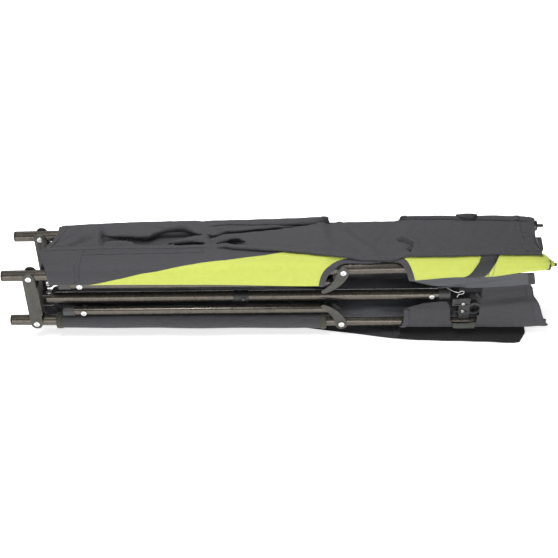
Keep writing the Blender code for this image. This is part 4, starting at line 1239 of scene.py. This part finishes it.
LOOSE_FOLDS = [
    ([(676, 88), (700, 72), (742, 62)], 1.4, 8, -1.4, 9),
    ([(744, 96), (756, 84), (760, 70)], 1.6, 8, -1.6, 8),
    ([(800, 92), (812, 66), (846, 52)], 2.0, 8, -2.0, 10),
    ([(812, 45), (862, 45.5), (906, 44)], 2.2, 5, -2.2, 5),
    ([(840, 96), (880, 78), (915, 66)], -1.4, 12, 1.4, 12),
    ([(830, 20), (870, 14), (900, 16)], -1.5, 9, 1.5, 9),
]


def loose_pocket(u, v):
    rail = -rail_height(u)
    crease = -16 + 0.12 * (np.clip(u, 800, 910) - 814)
    standing = ease(752, 812, u)
    flare = ease(900, 938, u)
    section = spread(u, [
        (7.0, 31.0),
        (6.5, 15.0),
        (4.0, crease + 13.5),
        (-2.0 - 1.5 * standing, crease),
        (-8.5 - 3.0 * standing, crease - 10.5),
        (-13.5, rail + 14.5 + 1.5 * standing),
        (-14.6, rail + 3.0 - flare),
        (-11.4, rail - 4.5 + 2.5 * flare),
        (-5.2, rail - 10.6 + 2.0 * flare),
        (3.0, rail - 12.0),
        (9.8, rail - 7.5),
        (12.2, rail + 0.5),
        (10.0, rail + 8.0),
        (2.5, rail + 12.0),
    ])
    place = along_section(LOOSE_KNOTS, section, v)
    n, height = place[:, 0], place[:, 1]
    n = creased(n, u, v, LOOSE_FOLDS)
    return np.stack([u, n, height], 1)


loose_start = [(x, v) for v, x in LOOSE_START]
loose_end = [(x, v) for v, x in LOOSE_END]
loose_flat = lay_flat((668, 942), (0, LOOSE_ROUND), (3.2, 2.8), [loose_start, loose_end, LOOSE_TOP])
lu, lv = loose_flat[2].T
on_loose = (lu > np.interp(lv, *zip(*LOOSE_START))) & (lu < np.interp(lv, *zip(*LOOSE_END)))
on_loose &= lv > np.interp(lu, *zip(*LOOSE_TOP))
loose = hang("near_lower_loose_pocket", loose_flat, on_loose, loose_pocket, 0.9, GREY, "grey_fabric")
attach(loose, "near_lower_rail")
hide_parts("near_lower_sleeve")


# Hanging strip under the lime, its coated side out
STRIP_DEEP = 34
HANGING_END = [(0, 902), (14, 906), (24, 907.5), (34, 905)]
HANGING_LOW = [(686, 6), (720, 15), (760, 24), (790, 31), (830, 29.5), (870, 27), (908, 23.5)]


STRIP_FOLDS = [
    ([(800, 24), (850, 15), (905, 9)], 1.5, 5, -1.5, 6),
]


def hanging_strip(u, v):
    top = 37.5 + 6 * ease(690, 800, u) + 0.02 * (u - 780)
    n = 1.5 - 2.6 * ease(0, 16, v) + 1.6 * np.sin(v * 0.17 + u * 0.02) * ease(2, 16, v)
    n = creased(n, u, v, STRIP_FOLDS)
    return np.stack([u, n, top - v * 0.985], 1)


hang_end = [(x, v) for v, x in HANGING_END]
strip_flat = lay_flat((690, 910), (0, STRIP_DEEP), (3.0, 2.6), [hang_end, HANGING_LOW])
su, sv = strip_flat[2].T
on_strip = (su < np.interp(sv, *zip(*HANGING_END))) & (sv < np.interp(su, *zip(*HANGING_LOW)))
strip = hang("hanging_strip", strip_flat, on_strip, hanging_strip, 0.8, GREY_SHINY, "grey_fabric")
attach(strip, "near_upper_rail")


# Folded layers between the rails, top pair and lower pair
def layers(levels, near, far):
    """A long cloth laid to and fro between the rails: its section as knots and points."""
    points, knots = [], []
    run, last = 0.0, None
    for index, level in enumerate(levels):
        row = [near, (near + far) / 2, far] if index % 2 == 0 else [far, (near + far) / 2, near]
        for place in row:
            point = (place, level)
            if last is not None:
                run += math.hypot(point[0] - last[0], point[1] - last[1])
            knots.append(run)
            points.append(point)
            last = point
    return knots, points


def folded_layers(u, v, knots, points, sign, sag):
    place = along_section(knots, spread(u, points), v)
    n, h = place[:, 0], place[:, 1]
    if sign > 0:
        h = h * (1 + 0.00055 * u)
    else:
        bunched = ease(420, 540, u) * (1 - ease(680, 800, u)) * ease(58, 86, n)
        h = h + (rail_height(u) - 27.5 - 4.0) * bunched * (h + 17) / 21
    h = h + sag * np.sin(np.clip((n - 18) / 84, 0, 1) * math.pi) * np.sin(u * 0.013 + h * 0.4)
    h = h + 0.9 * np.sin(u * 0.035 + n * 0.09) + 0.5 * np.sin(u * 0.083 - n * 0.14)
    n = n + 2.0 * np.sin(u * 0.021 + h * 0.5)
    return np.stack([u, n, sign * rail_height(u) + h], 1)


upper_knots, upper_points = layers([-5, -10, -15, -20, -25], 30, 88)
lower_knots, lower_points = layers([4, -3, -10, -17], 20, 99)


def upper_layers(u, v):
    return folded_layers(u, v, upper_knots, upper_points, 1, 2.0)


def lower_layers(u, v):
    return folded_layers(u, v, lower_knots, lower_points, -1, 2.0)


for level, shape, knots, low, high in (
    ("upper", upper_layers, upper_knots, 14, 908), ("lower", lower_layers, lower_knots, 40, 908)):
    cut = lay_flat((low, high), (0, knots[-1]), (7.0, 4.5))
    inner = hang(f"{level}_folded_layers", cut, None, shape, 1.0, GREY_INNER, "grey_fabric")
    stretch(inner, level)


# Lower cloth: its coated top side between the lower rails, and the part that lies on the ground
LOWER_FOLDS = [
    ([(540, 30), (596, 33), (700, 36), (900, 30)], 4.0, 6, -4.0, 8),
    ([(540, 14), (596, 12), (640, 16)], 3.0, 5, -3.0, 6),
    ([(60, 60), (240, 48), (420, 66)], 2.5, 12, -2.5, 12),
]


def lower_cloth(u, v):
    n = -2.0 + v
    h = 13.2 + 3.2 * ease(20, 60, u) * np.sin(np.clip((n - 4) / 112, 0, 1) * math.pi)
    h = h + 1.6 * np.sin(n * 0.27 + u * 0.004) * ease(8, 20, n) * (1 - ease(98, 112, n))
    h = creased(h, u, n, LOWER_FOLDS)
    h = h + 0.8 * np.sin(u * 0.05 + n * 0.1)
    h = h - 3.0 * (1 - ease(-2, 8, n)) - 3.5 * ease(108, 122, n)
    return np.stack([u, n, h - rail_height(u)], 1)


LOWER_START = [(0, 44), (20, 40), (50, 20), (66, 14), (84, 20), (104, 40), (124, 46)]
lower_start = [(x, v) for v, x in LOWER_START]
lower_flat = lay_flat((12, 912), (0, 124), (5.0, 3.2), [lower_start])
ku, kv = lower_flat[2].T
lower_top = hang("lower_cloth", lower_flat, ku > np.interp(kv, *zip(*LOWER_START)), lower_cloth, 0.9,
    GREY_SHINY,
    "grey_fabric")
stretch(lower_top, "lower")
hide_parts("lower_bed_fabric")

GROUND_LEAD = 24
GROUND_EDGE = [(330, 34), (428, 19), (484, 12.5), (560, -1.5), (654, -19.5), (670, -22)]


GROUND_FOLDS = [
    ([(470, 40), (560, 18), (640, 2)], 1.6, 6, -1.6, 7),
]


def ground_cloth(u, v):
    n = v - GROUND_LEAD
    lie = GROUND + 1.6
    droop = np.clip((-rail_height(u) - 11.5) - lie, 0, None)
    rise = 0.9 * np.sin(u * 0.05 + n * 0.12) + 0.7 * np.sin(u * 0.021 - n * 0.2)
    height = lie + 0.9 + rise * 0.6 + droop * (1 - ease(330, 470, u)) * 0.75 * (1 - 0.4 * np.sin(n * 0.03))
    height = creased(height, u, n, GROUND_FOLDS)
    height = height + droop * 0.8 * ease(84, 104, n)
    return np.stack([u, n, np.maximum(height, lie)], 1)


ground_edge = [(x, n + GROUND_LEAD) for x, n in GROUND_EDGE]
ground_flat = lay_flat((46, 670), (0, 130), (5.0, 3.2), [ground_edge])
gu, gv = ground_flat[2].T
front_of_ground = np.interp(gu, [46, 330] + [x for x, _ in GROUND_EDGE[1:]],
    [34, 34] + [n for _, n in GROUND_EDGE[1:]])
ground = hang("ground_cloth", ground_flat, gv - GROUND_LEAD > front_of_ground, ground_cloth, 0.9, GREY,
    "grey_fabric")
stretch(ground, "lower")


# Black panel on the ground, its right end slanted
BLACK_LEAD = 39
BLACK_FRONT = [(664, -22.5), (760, -28.6), (878, -35.6), (888, -33.5), (903, -8), (905, 14), (903, 100)]


def black_cloth(u, v):
    n = v - BLACK_LEAD
    height = (GROUND + 1.3 + 0.5 * (1 + np.sin(u * 0.043 + n * 0.05))
        + 0.35 * (1 + np.sin(u * 0.11 - n * 0.13)))
    height = height + 0.8 * (1 - ease(664, 676, u))
    return np.stack([u, n, height], 1)


black_line = [(x, n + BLACK_LEAD) for x, n in BLACK_FRONT]
black_flat = lay_flat((664, 906), (0, 139), (4.0, 3.6), [black_line])
bu, bv = black_flat[2].T
black_outline = [(660, 16.5)] + black_line + [(903, 141), (660, 141)]
black = hang("black_ground_panel", black_flat, inside(black_outline, bu, bv), black_cloth, 1.6, BLACK,
    "black_fabric")
stretch(black, "lower")
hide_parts("black_panel")


# Curled end of the folded cloth between the hubs
def end_curl(u, v):
    """v runs down the curl, u across from frame to frame."""
    points = [(50, 30), (22, 32), (4, 10), (3, -32), (4, -64), (16, -84), (50, -86)]
    place = along_section([0, 26, 53, 89, 121, 144, 178], spread(u, points), v)
    x = place[:, 0] + 3.0 * np.sin(u * 0.16 + v * 0.03) + 1.4 * np.sin(u * 0.37 - v * 0.06)
    return np.stack([x, u, place[:, 1]], 1)


curl_flat = lay_flat((32, 90), (0, 178), (2.6, 3.4))
curl = hang("curled_cloth_end", curl_flat, None, end_curl, 1.0, GREY_INNER, "grey_fabric")
stretch(curl, "lower")


# Seams: a pressed band with two rows of stitches, or a bound edge
def stitches(name, path, shape, lift, body, shift=0.0, length=3.0, gap=1.5):
    """A row of short stitches that lie on a cloth along a path of (u, v) points."""
    line = np.array(path, float)
    reach = np.concatenate([[0], np.cumsum(np.hypot(*np.diff(line, axis=0).T))])
    starts = np.arange(0.5, reach[-1] - length, length + gap)
    verts, faces = [], []
    for start in starts:
        run = start + np.array([0.0, 0.22, 0.78, 1.0]) * length
        centre = np.stack([np.interp(run, reach, line[:, k]) for k in (0, 1)], 1)
        way = centre[-1] - centre[0]
        way /= np.hypot(*way)
        side = np.array([-way[1], way[0]])
        centre = centre + side * shift
        first = len(verts)
        for spot_uv, share in zip(centre, (0.35, 1.0, 1.0, 0.35)):
            for across, up in ((-0.32, 0.0), (0.0, 0.34), (0.32, 0.0), (0.0, -0.25)):
                uv = (spot_uv + side * across * share)[None, :]
                verts.append((uv[0], lift + up * share))
        for ring in range(3):
            for k in range(4):
                a, b = first + ring * 4 + k, first + ring * 4 + (k + 1) % 4
                faces.append((a, a + 4, b + 4, b))
        faces.append((first, first + 1, first + 2, first + 3))
        faces.append((first + 15, first + 14, first + 13, first + 12))
    uv = np.array([one for one, _ in verts])
    rise = np.array([one for _, one in verts])[:, None]
    obj = cloth_object(name, off_surface(shape, uv, rise), faces, uv)
    choose(obj)
    bpy.ops.object.mode_set(mode="EDIT")
    bpy.ops.mesh.select_all(action="SELECT")
    bpy.ops.mesh.normals_make_consistent(inside=False)
    bpy.ops.object.mode_set(mode="OBJECT")
    finished(obj, name, THREAD, body, "grey_fabric", angle=60)
    return obj if body is not None else stretch(obj, "upper")


def seam_band(name, path, shape, body, mat=GREY, width=10.0, lift=0.75, thickness=0.7,
    level="upper"):
    band = tape(name, path, shape, width, lift, thickness, mat, "grey_fabric")
    if body is None:
        stretch(band, level)
    else:
        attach(band, body)
    for part, shift in (("a", -width / 2 + 1.3), ("b", width / 2 - 1.3)):
        if body is None and level == "lower":
            continue
        stitches(f"{name}_stitches_{part}", path, shape, lift + 0.5, body, shift)
    return band


seam_band("panel_upright_seam", [(87.5, v) for v in range(3, 102, 6)], near_panel, "near_upper_rail")
seam_band("panel_long_seam", [(x, 87) for x in range(94, 312, 8)], near_panel, "near_upper_rail")
seam_band("panel_back_hem", [(x, float(np.interp(x, *zip(*PANEL_BACK))) - 4) for x in range(22, 328, 8)],
    near_panel,
    "near_upper_rail", lift=0.7, thickness=1.2)
lime_seam = seam_band("lime_end_seam", [(822, v) for v in range(4, 56, 5)], near_panel, "near_upper_rail",
    mat=LIME, lift=0.6, thickness=0.5)
seam_band("cover_end_seam", cover_line([(886, 8), (886, 60), (889, 112)], 40), cover, None)
cover_hem_path = cover_line([(18.5, 46), (27, 66), (39, 97), (48, 122)], 40)
seam_band("cover_left_hem", cover_hem_path, cover, None, width=11.0)
seam_band("cover_right_hem", cover_line([(905, 8), (902, 34), (907, 60), (913, 100)], 40), cover, None)
seam_band("far_pocket_left_hem", [(536, 6), (531, 14), (527, 24), (525, 40), (524, 70), (524, 96)],
    far_pocket,
    "far_upper_rail", thickness=1.3)
seam_band("far_pocket_right_hem", [(676, 6), (680, 14), (682, 24), (681, 40), (680, 70), (680, 96)],
    far_pocket,
    "far_upper_rail", thickness=1.3)
seam_band("far_pocket_end_seam", [(889, 3), (890, 24), (890, 60), (890, 96)], far_pocket, "far_upper_rail")


def outer_side(shape, top):
    """A cloth whose v runs downwards, measured upwards instead, so that its outer face is the front."""
    return lambda u, v: shape(u, top - v)


def upwards(path, top):
    return [(x, top - v) for x, v in path]


for part, x in (("left", 41.5), ("right", 526.5)):
    seam_band(f"lower_pocket_{part}_hem", [(x, v) for v in range(2, LOWER_ROUND, 6)],
        outer_side(near_ring, LOWER_ROUND), "near_lower_rail",
        mat=OLIVE_TRIM, thickness=1.2)
loose_outside = outer_side(loose_pocket, LOOSE_ROUND)
loose_hem = [(x - 6.5, v) for v, x in LOOSE_END if 2 <= v <= 100]
seam_band("loose_pocket_end_hem", upwards([(893, 3)] + loose_hem, LOOSE_ROUND), loose_outside,
    "near_lower_rail",
    mat=BINDING, width=12.0, thickness=1.2)
seam_band("loose_pocket_front_hem", upwards([(679, 57), (679, 72), (677, 86), (675, 97), (673, 107)],
    LOOSE_ROUND),
    loose_outside, "near_lower_rail", mat=BINDING, thickness=1.6)
seam_band("hanging_strip_end_hem", upwards([(897, 1), (900, 12), (901, 24)], STRIP_DEEP),
    outer_side(hanging_strip, STRIP_DEEP), "near_upper_rail",
    mat=BINDING, width=11.0, thickness=1.2)
seam_band("ground_cloth_hem", [(664, v) for v in (6, 20, 40, 60, 84, 104)], ground_cloth, None,
    width=12.0, level="lower")


# Black webbing: across the lime, over the far pocket, and the tab at the end
strap_path = [(827, 64), (820, 54), (812, 38), (803, 20), (794, 3), (790, -3), (786, -11), (783, -22),
    (782, -34)]
strap = tape("cross_strap_webbing", strap_path, near_panel, 27.0, 1.7, 1.8, WEBBING, "webbing")
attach(strap, "near_upper_rail")
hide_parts("cross_strap")
over_far = tape("far_pocket_strap", [(789, 1), (797, 12), (801, 24), (802, 38), (802, 52)], far_pocket,
    34.0, 2.6, 3.0,
    WEBBING, "webbing")
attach(over_far, "far_upper_rail")


def tab_shape(u, v):
    """The tab's webbing, doubled: the second half of v lies under the first."""
    back = np.where(v > 50, 100 - v, v)
    n = 24 + back
    fold_over = ease(47, 50, back)
    h = np.where(v > 50, 5.2, 8.6) + (6.9 - np.where(v > 50, 5.2, 8.6)) * fold_over
    h = h + 11 * (1 - ease(909, 917, u)) * ease(4, 12, back) * (1 - ease(40, 47, back)) - 0.02 * (back - 20)
    return np.stack([u, n, rail_height(u) + h], 1)


TAB_LEFT = [(0, 911), (8, 907), (20, 905), (46, 906), (54, 906), (80, 905), (92, 907), (100, 911)]
TAB_RIGHT = [(0, 915), (12, 922), (44, 925.5), (56, 925.5), (88, 922), (100, 915)]
tab_flat = lay_flat((904, 927), (0, 100), (2.0, 2.0),
    [[(x, v) for v, x in TAB_LEFT], [(x, v) for v, x in TAB_RIGHT]])
tu, tv = tab_flat[2].T
on_tab = (tu > np.interp(tv, *zip(*TAB_LEFT))) & (tu < np.interp(tv, *zip(*TAB_RIGHT)))
tab = hang("end_tab_webbing", tab_flat, on_tab, tab_shape, 1.6, WEBBING, "webbing")
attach(tab, "near_upper_rail")
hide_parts("end_tab")


# Clip on the lower rail: bevelled block, ring for the other leg, screw, wire loop and cloth pads
refined("foot_clip", "foot_clip_moulded", BLACK_PLASTIC, "black_plastic", 1.3, 3)
ring = turned(spot(802, 4, -29.5), (0, -1, 0), [(8.6, -1.0), (8.2, 0.0), (8.2, 11.0), (9.2, 12.0),
    (13.0, 12.0),
    (14.2, 11.0), (14.2, 0.4), (13.4, -1.0), (8.6, -1.0)], sides=40, closed=False)
finished(ring, "clip_ring", BLACK_PLASTIC, "near_lower_rail", "black_plastic", angle=45)
for index, (x, v, size) in enumerate(((780.6, -17.4, 3.4), (780.6, -34.0, 2.8))):
    head = turned(spot(x, -8.6, v), (0, -1, 0), [(size, -1.5), (size, 0.5), (size * 0.85, 1.2),
        (size * 0.4, 1.5),
        (size * 0.34, 0.8), (0.4, 0.8)], sides=24)
    finished(head, f"clip_screw_{index + 1}", STEEL, "near_lower_rail", "rivet_steel", angle=45)
for index, low in enumerate((-12.0, 4.0)):
    rib = turned(spot(764.5, -9.4, low - 22), (1, 0, 0),
        [(0.3, 0.0), (1.0, 0.4), (1.0, 25.0), (0.3, 25.4)], sides=12)
    finished(rib, f"clip_rib_{index + 1}", BLACK_PLASTIC, "near_lower_rail", "black_plastic", angle=45)


def wire(name, points, radius, body):
    """Bent wire: a round section swept along a smoothed line of places."""
    curve = bpy.data.curves.new(name, "CURVE")
    curve.dimensions = "3D"
    curve.bevel_depth = radius / 1000
    curve.bevel_resolution = 3
    curve.use_fill_caps = True
    spline = curve.splines.new("BEZIER")
    spline.bezier_points.add(len(points) - 1)
    for knot, point in zip(spline.bezier_points, points):
        knot.co = spot(*point)
        knot.handle_left_type = knot.handle_right_type = "AUTO"
    choose(add_object(name, curve))
    bpy.ops.object.convert(target="MESH")
    return finished(bpy.context.object, name, STEEL, body, "rivet_steel", angle=60)


wire("clip_wire_loop", [(751, 6, 9), (764, -6, 9.5), (769, -8, 10), (776, -9, 14), (779, -8.5, 11),
    (777, -8, 6.5),
    (771, -7.5, 5), (768, -7, -2)], 0.6, "near_lower_rail")
for index, (level_v, size) in enumerate(((86.5, 11.0), (94.5, 10.0))):
    pad_path = upwards([(765 + index * 2, level_v), (785, level_v + 0.8), (806 - index, level_v)],
        LOOSE_ROUND)
    pad = tape(f"clip_pad_{index + 1}", pad_path, loose_outside, size, 2.2, 3.4, PAD, "grey_fabric")
    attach(pad, "near_lower_rail")


# Rivets through the centre legs' feet
LEG_RADIUS = 10.0
for side, n, v in (("near", 16, -12), ("far", 104, 12)):
    dome = [(1.1, 0.9), (2.2, 1.5), (3.8, 1.3), (5.0, 0.7), (5.3, 0.0)]
    top = [(radius, LEG_RADIUS + rise) for radius, rise in dome] + [(2.8, LEG_RADIUS - 0.6)]
    profile = top + [(radius, -rise) for radius, rise in reversed(top)]
    head = turned(spot(725.0, n, v), (0, 1, 0), profile, sides=32)
    finished(head, f"{side}_centre_leg_foot_rivet", STEEL, f"{side}_centre_leg", "rivet_steel", angle=50)
